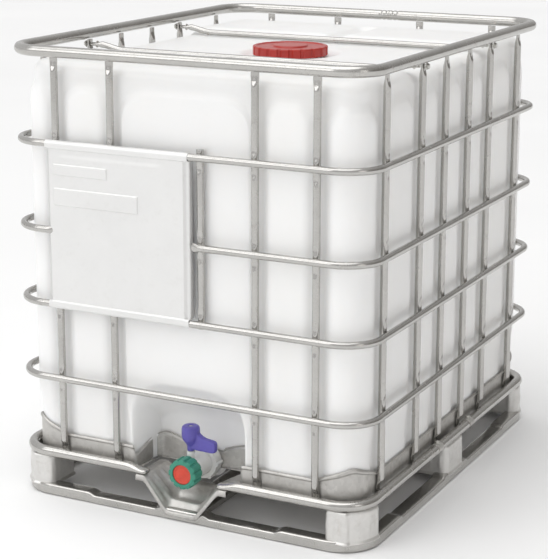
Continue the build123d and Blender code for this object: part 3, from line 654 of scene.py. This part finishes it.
def panel_depth(s, z, at, edges):
    """How far the wall is drawn in: 0 inside a panel, 1 in the grooves between them and above their tops."""
    depth = np.ones_like(s)
    for start, end in edges:
        half = ((end - start) % at.length) / 2
        middle = start + half
        away = np.mod(s - middle + at.length / 2, at.length) - at.length / 2
        low, high, radius = 92.0, 1074.0, min(half * 0.72, 92.0)
        cz, hz = (low + high) / 2, (high - low) / 2
        qx, qz = np.abs(away) - (half - 9) + radius, np.abs(z - cz) - hz + radius
        d = np.hypot(np.maximum(qx, 0), np.maximum(qz, 0)) + np.minimum(np.maximum(qx, qz), 0) - radius
        depth = np.minimum(depth, 1 - smooth(0, 30, -d))
    return depth


def make_bottle():
    at = ring_path(B_X, B_Y, B_R)
    # columns are closer together at the niche's edges and at the uprights
    s = list(np.arange(0, at.length, 9.5))
    for centre in (160.0, at.length - 160.0):
        s += list(centre + np.arange(-22, 23, 2.4))
    marks = sorted(m % at.length for m in weld_marks(at))
    for mark in marks:
        s += list(mark + np.arange(-26, 27, 5.2))
    s = np.unique(np.round(np.mod(s, at.length), 1))
    keep = np.concatenate([[True], np.diff(s) > 1.0])
    s = s[keep]
    # the corner belongs to one wide panel: the last upright of one side to the first of the next
    edges = [(marks[i], marks[(i + 1) % len(marks)]) for i in range(len(marks))]
    low_turn, top_turn = np.radians(np.linspace(0, 90, 8)), np.radians(np.linspace(0, 90, 14))
    low_arc = [
        (B_LOW_EDGE - B_LOW_EDGE * math.sin(t), B_LOW + B_LOW_EDGE - B_LOW_EDGE * math.cos(t)) for t in low_turn
    ]
    top_arc = [(B_EDGE * (1 - math.cos(t)), B_TOP - B_EDGE * (1 - math.sin(t))) for t in top_turn]
    wall = np.unique(np.round(np.concatenate([
        np.arange(B_LOW + 36, B_TOP - B_EDGE - 4, 10.0),
        np.arange(262, 372, 3.0),
        np.arange(1000, B_TOP - B_EDGE - 2, 5.0),
    ]), 1))
    wall = wall[np.concatenate([[True], np.diff(wall) > 1.5])]
    rows = low_arc + [(0.0, z) for z in wall] + top_arc
    plan, normal = at(s)
    verts = []
    dip = 17.0 * (np.abs(plan[:, 0]) > B_X - 2) * (1 - smooth(228, 286, np.abs(plan[:, 1])))
    for inset, z in rows:
        zz = z - dip * smooth(1030, B_TOP, z)
        groove = panel_depth(s, zz, at, edges)
        bulge = 7.0 * (1 - groove) * smooth(206, 290, zz) * (1 - smooth(1010, 1080, zz))
        pull = 6.0 * groove - bulge + 0.6 * (wobble(plan[:, 0], plan[:, 1], zz, 70.0) + 1)
        point = plan - normal * (inset + pull)[:, None]
        front = (plan[:, 1] < -B_Y + 1) & (np.abs(plan[:, 0]) < 200)
        across = np.abs(plan[:, 0])
        arch = NICHE_TOP - 58.0 * (across / NICHE_HALF) ** 4
        hollow = smooth(-3, 24, NICHE_HALF - across) * smooth(0, 112, arch - zz) ** 0.8
        point[:, 1] = np.where(front, np.maximum(point[:, 1], -B_Y + NICHE_DEPTH * hollow), point[:, 1])
        verts.append(np.column_stack([point, zz]))
    count = len(s)
    # the bottom closes towards its middle
    inner = []
    first = verts[0]
    for k in np.linspace(0, 1, 12)[1:-1]:
        ring = first.copy()
        ring[:, 0] *= 1 - k
        ring[:, 1] = 40 + (ring[:, 1] - 40) * (1 - k)
        inner.append(ring)
    rings = inner[::-1] + verts
    # the top runs in from its edge to the neck
    last = verts[-1]
    angle = np.arctan2(last[:, 1], last[:, 0])
    steps = 64
    for k in range(1, steps + 1):
        t = k / steps
        target = np.column_stack([np.cos(angle), np.sin(angle)]) * (NECK_R + 6)
        xy = last[:, :2] * (1 - t) + target * t
        x, y = xy[:, 0], xy[:, 1]
        ax, ay = np.abs(x), np.abs(y)
        mound = smooth(248, 290, ay)
        height = CHANNEL_Z + (B_TOP - CHANNEL_Z) * mound - 12.0 * (1 - smooth(8, 36, ax)) * mound
        height -= (CHANNEL_Z - RECESS_Z) * (1 - smooth(NECK_R + 26, NECK_R + 52, np.hypot(x, y)))
        height += 0.5 * wobble(x, y, x * 0, 40.0) * smooth(0, 20, np.abs(ay - BAR_Y))
        height = last[:, 2] + (height - last[:, 2]) * smooth(0, 0.10, t)
        rings.append(np.column_stack([xy, height]))

    def ring(radius, z):
        return np.column_stack([np.cos(angle) * radius, np.sin(angle) * radius, np.full(count, float(z))])

    root = [(NECK_R + 3, RECESS_Z + 0.4), (NECK_R + 0.6, RECESS_Z + 1.6), (NECK_R, RECESS_Z + 3)]
    rings += [ring(radius, z) for radius, z in root]
    turn = angle / (2 * math.pi)
    for z in np.arange(RECESS_Z + 4, 1109, 1.1):
        thread = 2.3 * bump(np.mod(z - 1098 - turn * 7.0, 7.0) - 3.5, 2.4)
        thread = thread * smooth(RECESS_Z + 3, RECESS_Z + 6, z) * (1 - smooth(1104, 1108, z))
        rings.append(ring(NECK_R + thread, z))
    mouth = [(NECK_R, 1110), (NECK_R - 1, 1111.6), (NECK_R - 2.2, 1112), (77, 1112), (75.4, 1111.2)]
    mouth += [(75, 1109), (75, 1086), (78, 1083), (90, 1080), (120, 1079)]
    rings += [ring(radius, z) for radius, z in mouth]
    verts = np.concatenate(rings)
    faces = grid_faces(len(rings), count, wrap=True)
    faces.append(list(range(count))[::-1])
    body = make("bottle_shell", verts, faces, BOTTLE, "bottle_hdpe", replaces=["bottle"], sharp=0)
    # outlet stub that the valve is screwed to
    profile = [(25.2, -10), (25.2, 22), (33.2, 22), (34, 21), (34, 3), (38, 0), (46, -4), (52, -8)]
    stub, stub_faces = lathe(profile, 72)
    make("bottle_outlet_stub", along_valve(stub, -453.0), stub_faces, BOTTLE, "bottle_hdpe")
    return body


# ---------------------------------------------------------------- pallet


def make_frame_tube():
    at = ring_path(HALF_X - FRAME_INSET, HALF_Y - FRAME_INSET, FRAME_BEND)
    start, end = 100.0, at.length - 100.0
    s = loop_samples(at, 20.0)
    s = s[(s > start + 70) & (s < end - 70)]
    tail = np.array([0, 1.0, 3, 6, 10, 15, 21, 28, 36, 45, 55, 65.0])
    s = np.concatenate([start + tail, s, (end - tail)[::-1]])
    plan, _ = at(s)
    section = np.broadcast_to(circle(FRAME_R, 28), (len(s), 28, 2)).copy()
    z = np.full(len(s), FRAME_Z)
    for distance in (s - start, end - s):
        close = (1 - smooth(8, 60, distance))[:, None]
        section[..., 1] *= 1 - 0.42 * close
        section[..., 0] *= 1 + 0.16 * close
        z -= 4.5 * (1 - smooth(8, 60, distance))
        tip = 1 - np.sqrt(np.clip(1 - (1 - np.clip(distance / 10, 0, 1)) ** 2, 0, 1))[:, None]
        section *= 1 - 0.55 * tip[..., None]
    points = np.column_stack([plan, z])
    verts, faces = sweep(points, section)
    make("pallet_frame_tube", verts, faces, RAIL, TUBE_SLOT, replaces=["pallet_top_frame"])


def make_runner():
    """Flattened tube on the floor, deeper beside the feet."""
    at = ring_path(HALF_X - RUNNER_INSET, HALF_Y - RUNNER_INSET, RUNNER_BEND)
    feet = [0.0, at.back_mid]
    feet += [at.corners[i] for i in range(4)]
    side_mid = at.corners[0] + at.quarter / 2 + at.side_len / 2
    feet += [side_mid, at.length - at.corners[0] - at.quarter / 2 - at.side_len / 2]
    halves = [64.0, 92.0, 190.0, 190.0, 190.0, 190.0, 76.0, 76.0]
    s = loop_samples(at, 20.0, [(f + k * h, 26, 3.0) for f, h in zip(feet, halves) for k in (-1, 1)])
    plan, _ = at(s)
    tall = np.zeros(len(s))
    for centre, half in zip(feet, halves):
        away = np.abs(np.mod(s - centre + at.length / 2, at.length) - at.length / 2)
        tall = np.maximum(tall, 1 - smooth(half - 10, half + 14, away))
    angle = np.arange(32) / 32 * 2 * math.pi
    power = 0.42
    sx = np.sign(np.cos(angle)) * np.abs(np.cos(angle)) ** power
    sz = np.sign(np.sin(angle)) * np.abs(np.sin(angle)) ** power
    half_h = 11.5 + 3.5 * tall
    section = np.stack([np.broadcast_to(sx * 20.0, (len(s), 32)), sz[None] * half_h[:, None]], -1)
    points = np.column_stack([plan, half_h])
    verts, faces = sweep(points, section, closed=True)
    make("base_runner_tube", verts, faces, RAIL, TUBE_SLOT, replaces=["base_runner"])
    y = np.linspace(-556, 556, 80)
    section = np.stack([np.broadcast_to(sx * 40.0, (len(y), 32)), np.broadcast_to(sz * 12.5, (len(y), 32))], -1)
    verts, faces = sweep(np.column_stack([y * 0, y, y * 0 + 12.5]), section)
    make("centre_skid_tube", verts, faces, RAIL, TUBE_SLOT, replaces=["centre_skid"])


def wall_sheet(name, plan, heights, shape, replaces, thickness=2.0, closed=False, material=None):
    """A sheet along a plan path, its rows at shape(index along, height) giving (outward shift, z)."""
    plan = np.asarray(plan, float)
    if closed:
        wide = np.concatenate([plan[-1:], plan, plan[:1]])
        tangent = np.gradient(wide, axis=0)[1:-1]
    else:
        tangent = np.gradient(plan, axis=0)
    tangent /= np.linalg.norm(tangent, axis=1)[:, None]
    normal = np.column_stack([tangent[:, 1], -tangent[:, 0]])
    rows = []
    for h in heights:
        shift, z = shape(plan, h)
        rows.append(np.column_stack([plan + normal * np.asarray(shift)[:, None], z]))
    verts = np.concatenate(rows)
    ob = make(
        name,
        verts,
        grid_faces(len(rows), len(plan), wrap=closed),
        material or SHEET,
        SHEET_SLOT,
        replaces=replaces,
        sharp=0,
    )
    return thicken(ob, thickness, 0.0)


def fillet_path(points, radii, step=3.0, closed=False):
    """A polyline in plan with rounded corners, evenly sampled."""
    points = [np.array(p, float) for p in points]
    out = []
    count = len(points)
    for i, p in enumerate(points):
        if not closed and i in (0, count - 1):
            out.append(p)
            continue
        a, b = points[i - 1], points[(i + 1) % count]
        u, v = (a - p) / np.linalg.norm(a - p), (b - p) / np.linalg.norm(b - p)
        half = math.acos(np.clip(np.dot(u, v), -1, 1)) / 2
        cut = min(radii[i] / math.tan(half), 0.48 * np.linalg.norm(a - p), 0.48 * np.linalg.norm(b - p))
        start, end = p + u * cut, p + v * cut
        for t in np.linspace(0, 1, 9):
            out.append((1 - t) ** 2 * start + 2 * t * (1 - t) * (p * 0.82 + (start + end) * 0.09) + t**2 * end)
    if closed:
        out.append(out[0])
    out = np.array(out)
    gaps = np.linalg.norm(np.diff(out, axis=0), axis=1)
    place = np.concatenate([[0], np.cumsum(gaps)])
    even = np.linspace(0, place[-1], max(int(place[-1] / step), 4) + 1)
    path = np.column_stack([np.interp(even, place, out[:, 0]), np.interp(even, place, out[:, 1])])
    return path[:-1] if closed else path


def make_tray():
    """Lip of the pan behind the uprights, with a tongue up each corner and a fold round the niche."""
    at = ring_path(TRAY_X, TRAY_Y, TRAY_BEND)
    s = np.arange(155.0, at.length - 155.0, 5.0)
    plan, _ = at(s)
    across = [(x, -458.0) for x in np.arange(-122.0, 123.0, 6.0)]
    fold = [(132.0, -459.0), (146.0, -470.0), (149.0, -560.0), (158.0, -564.0)]
    right_way = fillet_path(fold, [0, 8, 6, 0], 4.0)
    left_way = (right_way * np.array([-1, 1]))[::-1]
    plan = np.concatenate([across, right_way, plan[2:-2], left_way])
    corner = np.array([[sx * 443.0, sy * 543.0] for sx in (-1, 1) for sy in (-1, 1)])
    far = np.min(np.linalg.norm(plan[:, None] - corner[None], axis=2), axis=1)
    inner = (np.abs(plan[:, 0]) < 152) & (plan[:, 1] < -400)
    top = 165 + 38 * np.clip(1 - np.maximum(far, 7) / 92, 0, 1) ** 0.9
    depth = smooth(-566, -470, plan[:, 1])
    wave = 152 + 24 * depth * smooth(20, 120, np.abs(plan[:, 0])) - 10 * bump(np.abs(plan[:, 0]) - 150, 30)
    top = np.where(inner, np.where(np.abs(plan[:, 0]) < 50, 150.0, wave), top)
    low = 104.0

    def shape(path, h):
        z = low + (top - low) * min(h, 1.0)
        shift = np.full(len(path), 0.0)
        roll = 3.6 * math.sin(math.pi * max(0.0, (h - 0.86) / 0.14)) if h > 0.86 else 0.0
        flute = 1.3 * np.sin(path[:, 0] / 11.0) * np.sin(path[:, 1] / 11.0) * bump(h - 0.45, 0.4)
        shift = shift + roll * np.where(inner, -1, 1) * 0.9 + flute * (far < 70)
        if h <= 0.10:
            shift = shift - 7.0 * (1 - math.sqrt(max(0, 1 - (1 - h / 0.10) ** 2)))
        return shift, z

    heights = list(np.linspace(0, 0.10, 5)) + list(np.linspace(0.16, 0.84, 9)) + list(np.linspace(0.86, 1.0, 9))
    wall_sheet("tray_wall", plan, heights, shape, [], 1.8, closed=True)
    # floor with pressed beads
    x = np.arange(-460.0, 461.0, 10.0)
    y = np.arange(-560.0, 561.0, 10.0)
    gx, gy = np.meshgrid(x, y)
    gx, gy = gx.copy(), gy.copy()
    cut = (np.abs(gx) < 150) & (gy < -455)
    radius = 63.0
    over_x, over_y = np.abs(gx) - (460 - radius), np.abs(gy) - (560 - radius)
    outside = (over_x > 0) & (over_y > 0) & (np.hypot(over_x, over_y) > radius)
    scale = np.where(outside, radius / np.maximum(np.hypot(over_x, over_y), 1), 1)
    gx = np.where(outside, np.sign(gx) * (460 - radius + over_x * scale), gx)
    gy = np.where(outside, np.sign(gy) * (560 - radius + over_y * scale), gy)
    bead = np.zeros_like(gx)
    for cx in (-340, -250, -160, 160, 250, 340):
        ends = (1 - smooth(420, 450, np.abs(gy))) * smooth(96, 116, np.abs(gy))
        bead = np.maximum(bead, bump(gx - cx, 24) * ends)
    z = 104.5 - 7.0 * bead
    verts = np.stack([gx, gy, z], -1).reshape(-1, 3)
    faces = [f for f in grid_faces(len(y), len(x)) if not all(cut.reshape(-1)[i] for i in f)]
    floor = make("tray_floor", verts, faces, SHEET, SHEET_SLOT, replaces=["floor_tray"], sharp=0)
    thicken(floor, 1.8, 0.0)


def pressed_post(name, path, replaces, top=103.0, low=RUNNER_H - 4, flute=1.6, pitch=30.0, closed=True):
    """A sheet foot: walls that lean in slightly upwards, a foot flange, pressed flutes and a top."""
    path = np.asarray(path, float)
    length = np.concatenate([[0], np.cumsum(np.linalg.norm(np.diff(path, axis=0), axis=1))])

    def shape(plan, h):
        z = low + (top - low) * h
        ridge = flute * np.maximum(0, np.cos(length / pitch * 2 * math.pi)) ** 3 * bump(h - 0.5, 0.42)
        foot = 4.0 * (1 - smooth(0.0, 0.10, h))
        crown = -6.0 * (1 - math.sqrt(max(0.0, 1 - max(0.0, (h - 0.9) / 0.1) ** 2)))
        return ridge + foot + crown - 1.5 * h, np.full(len(plan), z)

    heights = np.concatenate([np.linspace(0, 0.12, 6), np.linspace(0.2, 0.86, 10), np.linspace(0.9, 1.0, 8)])
    return wall_sheet(name, path, heights, shape, replaces, 2.0, closed=closed, material=FOOT)


def make_feet():
    for side_x, word_x in ((-1, "left"), (1, "right")):
        for side_y, word_y in ((-1, "front"), (1, "back")):
            points = [(470, 484), (386, 484), (386, 574), (395, 588), (445, 588)]
            points += arc((402, 502), 90.0, 57, 0, 22)
            points += [(487, 492)]
            radii = [8, 10, 10, 12, 5] + [0.1] * 22 + [8]
            path = fillet_path([(side_x * px, side_y * py) for px, py in points], radii, 3.0, True)
            if side_x * side_y > 0:
                path = path[::-1]
            pressed_post(f"corner_foot_{word_y}_{word_x}_sheet", path, [f"corner_foot_{word_y}_{word_x}"])
    blocks = {
        "side_foot_left": (-449, 0, 45, 60), "side_foot_right": (449, 0, 45, 60),
        "back_foot": (0, 549, 75, 45), "centre_foot": (0, 0, 70, 70),
    }
    for name, (x, y, half_x, half_y) in blocks.items():
        signs = ((-1, -1), (1, -1), (1, 1), (-1, 1))
        points = [(x + sx * half_x, y + sy * half_y) for sx, sy in signs]
        pressed_post(name + "_sheet", fillet_path(points, [18] * 4, 3.0, True), [name], flute=2.2, pitch=26.0)


def make_valve_foot():
    """Folded trough in front of the niche: flanges on top, ribbed sides and a ramp up to the valve."""
    u = np.linspace(-1, 1, 121)
    au = np.abs(u)
    y = np.linspace(-595.8, -478, 52)
    section_x = np.interp(au, [0, 0.26, 0.78, 1.0], [0, 40, 104, 128]) * np.sign(u)
    floor = np.interp(au, [0, 0.26, 0.78, 1.0], [0, 0, 1, 1])
    floor = np.convolve(np.pad(floor, 3, mode="edge"), np.ones(7) / 7, mode="valid")
    gx = np.broadcast_to(section_x, (len(y), len(u))).copy()
    gy = np.broadcast_to(y[:, None], gx.shape).copy()
    low = 22 + 16 * smooth(-592, -566, gy) + 26 * smooth(-560, -492, gy)
    low += 5 * bump(gy + 566, 10) - 4 * bump(gy + 540, 14)
    z = low + (104.0 - low) * floor
    sides = smooth(0.3, 0.42, np.abs(np.broadcast_to(u, gx.shape))) * (1 - smooth(0.66, 0.76, np.abs(u)))
    ribs = 3.4 * np.maximum(0, np.sin((gy + 594) / 119 * 2 * math.pi * 4.0)) * sides
    gx = gx - np.sign(gx) * ribs * 0.75
    z = z + ribs * 0.5
    verts = np.stack([gx, gy, z], -1).reshape(-1, 3)
    count = len(u)
    # the front edge turns down over the runner
    apron = []
    edge = verts[:count]
    for dy, dz in ((-1.2, -0.6), (-2.0, -2.2), (-2.2, -6), (-2.2, -14)):
        drop = np.column_stack([edge[:, 0], edge[:, 1] + dy, np.maximum(edge[:, 2] + dz, 12.0)])
        apron.append(drop)
    apron = apron[::-1]
    verts = np.concatenate(apron + [verts])
    faces = grid_faces(len(y) + len(apron), count)
    ob = make("valve_foot_sheet", verts, faces, SHEET, SHEET_SLOT, replaces=["valve_foot"], sharp=0)
    thicken(ob, 2.2, 0.0)


def make_clamps():
    for side in (-1, 1):
        for y in (-110.0, 110.0):
            t = np.radians(np.linspace(-8, 188, 30))
            rows = []
            for dy in np.concatenate([[-14, -13.4], np.linspace(-12, 12, 9), [13.4, 14]]):
                lift = 0.5 if abs(dy) > 13 else 1.2
                rows.append(np.column_stack([
                    side * (HALF_X - FRAME_INSET) + (FRAME_R + lift) * np.cos(t),
                    np.full(30, y + dy),
                    FRAME_Z + (FRAME_R + lift) * np.sin(t),
                ]))
            word = ("left" if side < 0 else "right") + ("_front" if y < 0 else "_back")
            ob = make(
                f"cage_clamp_{word}", np.concatenate(rows), grid_faces(len(rows), 30), SHEET, SHEET_SLOT,
                replaces=["cage_clamps"], sharp=0,
            )
            thicken(ob, 1.4, 0.0)


# ---------------------------------------------------------------- cap and valve


def make_cap():
    lugs, columns = 20, 400

    def wave(angle, row, radius):
        if radius < 90:
            return np.full(len(angle), radius)
        groove = np.abs(np.mod(angle / (2 * math.pi) * lugs, 1.0) - 0.5)
        depth = 3.4 * (1 - smooth(0.10, 0.20, groove)) * (1.0 if row not in (0, 1) else 0.4)
        return radius - depth

    profile = [(88.4, 1095.4), (98.2, 1095.4), (99.0, 1096.4), (99.0, 1100), (99.0, 1106), (99.0, 1112)]
    profile += arc((95.5, 1115.5), 3.5, 0, 90, 8)
    profile += [(92.5, 1119.1), (89.9, 1119.2), (88.6, 1118.9), (87.6, 1117.6), (86.6, 1116.9), (70, 1116.8)]
    profile += [(48, 1116.8), (46.6, 1117.2), (45.2, 1119.6), (43.8, 1120.6), (42, 1120.9)]
    profile += [(20, 1120.9), (0.01, 1120.9)]
    verts, faces = lathe(profile, columns, wave)
    inner = [(0.01, 1115.1), (40, 1115.1), (86.6, 1115.1), (88.0, 1113.8), (88.4, 1112), (88.4, 1095.4)]
    inside, inside_faces = lathe(inner, columns)
    faces = faces + (np.array(inside_faces) + len(verts)).tolist()
    verts = np.concatenate([verts, inside])
    make("filling_cap_moulding", verts, faces, RED_CAP, "cap_red", "filling_cap", ["filling_cap"], 30)


def make_outlet_ring():
    lugs, columns = 12, 288

    def wave(angle, row, radius):
        if radius < 34:
            return np.full(len(angle), radius)
        groove = np.abs(np.mod(angle / (2 * math.pi) * lugs, 1.0) - 0.5)
        return radius - 3.2 * (1 - smooth(0.10, 0.24, groove)) * (0.45 if row in (0, 1) else 1.0)

    profile = [(32.2, 0.0), (37.6, 0.0), (38.6, 1.0), (38.8, 6), (38.8, 20), (38.6, 30)]
    profile += arc((34.9, 32.6), 3.7, 0, 90, 7)
    profile += [(32.5, 37.1), (30.4, 38.0), (27.6, 38.2), (26.2, 37.6), (25.6, 36.4), (25.5, 34.6)]
    profile += [(31.4, 34.4), (32.0, 33.8), (32.0, 10), (32.2, 0.0)]
    verts, faces = lathe(profile, columns, wave)
    make(
        "outlet_ring_moulding", along_valve(verts, RING_BACK_Y), faces, GREEN, "ring_green", "outlet_ring",
        ["outlet_cap_ring"], 32,
    )
    profile = [(0.01, -1.9), (30.6, -1.9), (31.0, -1.4), (31.0, 1.6), (30.6, 2.0), (25.2, 2.1), (25.0, 3.6)]
    profile += [(24.3, 4.3), (21.5, 4.4), (20.4, 3.9), (19.6, 2.7), (18.4, 2.4)]
    profile += [(6.5, 2.4), (5.4, 3.0), (4.0, 3.3), (0.01, 3.3)]
    verts, faces = lathe(profile, 120)
    make(
        "outlet_disc_moulding", along_valve(verts, DISC_Y), faces, RED_DISC, "disc_red", "outlet_closure",
        ["outlet_cap_disc"], 32,
    )


def make_lever():
    """Boot shaped lever: a round hub that tapers to the stem, and an arm, run together into one moulding."""
    profile = [(0.01, 171.5), (8.8, 171.5), (9.2, 172.5), (9.6, 184), (12.5, 190), (19.5, 199)]
    profile += [(22.6, 208), (23.0, 220), (22.8, 229.0), (21.4, 233.8), (18.4, 236.4), (14.0, 237.0)]
    profile += [(7.0, 237.0), (6.0, 236.2), (5.6, 231.2), (0.01, 231.0)]
    hub, hub_faces = lathe(profile, 48)
    hub[:, 1] += STEM_Y
    outline = [
        (-4, 177), (12, 175.5), (40, 175), (62, 174.5), (69, 176), (72, 181), (72, 198), (69, 204), (60, 206),
        (44, 208), (32, 212), (24, 218), (20, 224), (-4, 226),
    ]
    count = len(outline)
    layers = []
    for dy, grow in ((-8.0, 0.90), (-6.6, 0.98), (0, 1.0), (6.6, 0.98), (8.0, 0.90)):
        for px, pz in outline:
            layers.append((35 + (px - 35) * (1 - (1 - grow) * 0.5), STEM_Y + dy, 198 + (pz - 198) * grow))
    arm_faces = grid_faces(5, count, wrap=True)
    arm_faces += [list(range(count))[::-1], list(range(4 * count, 5 * count))]
    verts = np.concatenate([hub, np.array(layers)])
    faces = hub_faces + (np.array(arm_faces[:-2]) + len(hub)).tolist()
    faces += [[i + len(hub) for i in f] for f in arm_faces[-2:]]
    ob = make("valve_lever_moulding", verts, faces, BLUE, "lever_blue", "valve_spindle", ["valve_lever"], 0)
    m = ob.modifiers.new("fuse", "REMESH")
    m.mode = "VOXEL"
    m.voxel_size = 0.0011
    m = ob.modifiers.new("ease", "SMOOTH")
    m.factor = 0.5
    m.iterations = 7
    bake(ob)
    ob.data.shade_smooth()


def finish_cad_nodes():
    """Better materials for the CAD nodes that stay in view."""
    looks = {
        "valve_body": WHITE, "valve_union_nut": WHITE, "valve_stem": GREY, "butterfly_disc": GREY,
        "lever_screw": ZINC, "cap_gasket": RUBBER, "valve_gasket": RUBBER, "outlet_cap_seal": RUBBER,
    }
    for name, material in looks.items():
        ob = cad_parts[name]
        for i in range(len(ob.data.materials)):
            ob.data.materials[i] = material


# ---------------------------------------------------------------- studio


def make_studio():
    floor = Nodes("studio_floor")
    tone = floor.ramp(floor.noise(0.7, 3.0), [(0.3, 0.91), (0.7, 0.94)])
    floor.set(colour=tone, rough=0.75, specular=0.2)
    mesh = bpy.data.meshes.new("studio_floor")
    size = 70.0
    square = [(-size, -size, 0), (size, -size, 0), (size, size, 0), (-size, size, 0)]
    mesh.from_pydata(square, [], [(0, 1, 2, 3)])
    mesh.materials.append(floor.material)
    ground = bpy.data.objects.new("studio_floor", mesh)
    SCENE.collection.objects.link(ground)

    world = bpy.data.worlds.new("studio_light")
    SCENE.world = world
    world.use_nodes = True
    nodes, links = world.node_tree.nodes, world.node_tree.links
    place = nodes.new("ShaderNodeTexCoord")
    toward = nodes.new("ShaderNodeVectorMath")
    toward.operation = "DOT_PRODUCT"
    links.new(place.outputs["Generated"], toward.inputs[0])
    toward.inputs[1].default_value = (0.42, 0.20, -0.12)
    side = nodes.new("ShaderNodeMath")
    side.operation = "ADD"
    links.new(toward.outputs["Value"], side.inputs[0])
    side.inputs[1].default_value = 0.5
    ramp = nodes.new("ShaderNodeValToRGB")
    links.new(side.outputs[0], ramp.inputs[0])
    ramp.color_ramp.elements[0].position = 0.46
    ramp.color_ramp.elements[0].color = (1.0, 1.0, 1.0, 1)
    ramp.color_ramp.elements[1].position = 0.94
    ramp.color_ramp.elements[1].color = (0.30, 0.28, 0.26, 1)
    links.new(ramp.outputs[0], nodes["Background"].inputs["Color"])
    nodes["Background"].inputs["Strength"].default_value = 0.70

    def area(name, place, target, size, power, colour=(1, 1, 1)):
        light = bpy.data.lights.new(name, "AREA")
        light.shape = "RECTANGLE"
        light.size, light.size_y = size
        light.energy = power
        light.color = colour
        ob = bpy.data.objects.new(name, light)
        SCENE.collection.objects.link(ob)
        ob.location = place
        ob.rotation_euler = (Vector(target) - Vector(place)).to_track_quat("-Z", "Y").to_euler()

    area("key_light", (-3.2, -5.2, 3.8), (0, 0, 0.6), (3.6, 3.0), 58)
    area("side_light", (5.0, -2.6, 2.4), (0.2, 0, 0.6), (1.6, 2.8), 16, (1.0, 0.98, 0.96))
    sun = bpy.data.lights.new("soft_sun", "SUN")
    sun.energy, sun.angle = 1.3, math.radians(60)
    ob = bpy.data.objects.new("soft_sun", sun)
    SCENE.collection.objects.link(ob)
    ob.rotation_euler = Vector((0.12, 0.20, -1.0)).to_track_quat("-Z", "Y").to_euler()
    SCENE.view_settings.view_transform = "Standard"
    SCENE.view_settings.exposure = 0.0


def make_camera():
    pitch, roll, yaw = map(math.radians, (13.81867645, 0.1476088, -26.85506463))
    focal, centre, image = 1691.723, (283.762, 251.527), (548.0, 559.0)
    forward = Vector((math.sin(yaw) * math.cos(pitch), math.cos(yaw) * math.cos(pitch), -math.sin(pitch)))
    right = Vector((math.cos(yaw), -math.sin(yaw), 0))
    above = right.cross(forward)
    across = right * math.cos(roll) + above * math.sin(roll)
    upward = -right * math.sin(roll) + above * math.cos(roll)
    data = bpy.data.cameras.new("camera")
    data.sensor_width = 36.0
    data.lens = focal / max(image) * data.sensor_width
    data.shift_x = (image[0] / 2 - centre[0]) / max(image)
    data.shift_y = (centre[1] - image[1] / 2) / max(image)
    data.clip_start, data.clip_end = 0.05, 200.0
    camera = bpy.data.objects.new("camera", data)
    SCENE.collection.objects.link(camera)
    turn = Matrix((across, upward, -forward)).transposed().to_4x4()
    camera.matrix_world = Matrix.Translation((1.993424, -3.972067, 1.654048)) @ turn
    SCENE.camera = camera


make_camera()
make_uprights()
make_hoops()
make_rail()
make_bars()
make_bolts()
make_marking_plate()
make_bottle()
make_frame_tube()
make_runner()
make_tray()
make_feet()
make_valve_foot()
make_clamps()
make_cap()
make_outlet_ring()
make_lever()
finish_cad_nodes()
make_studio()
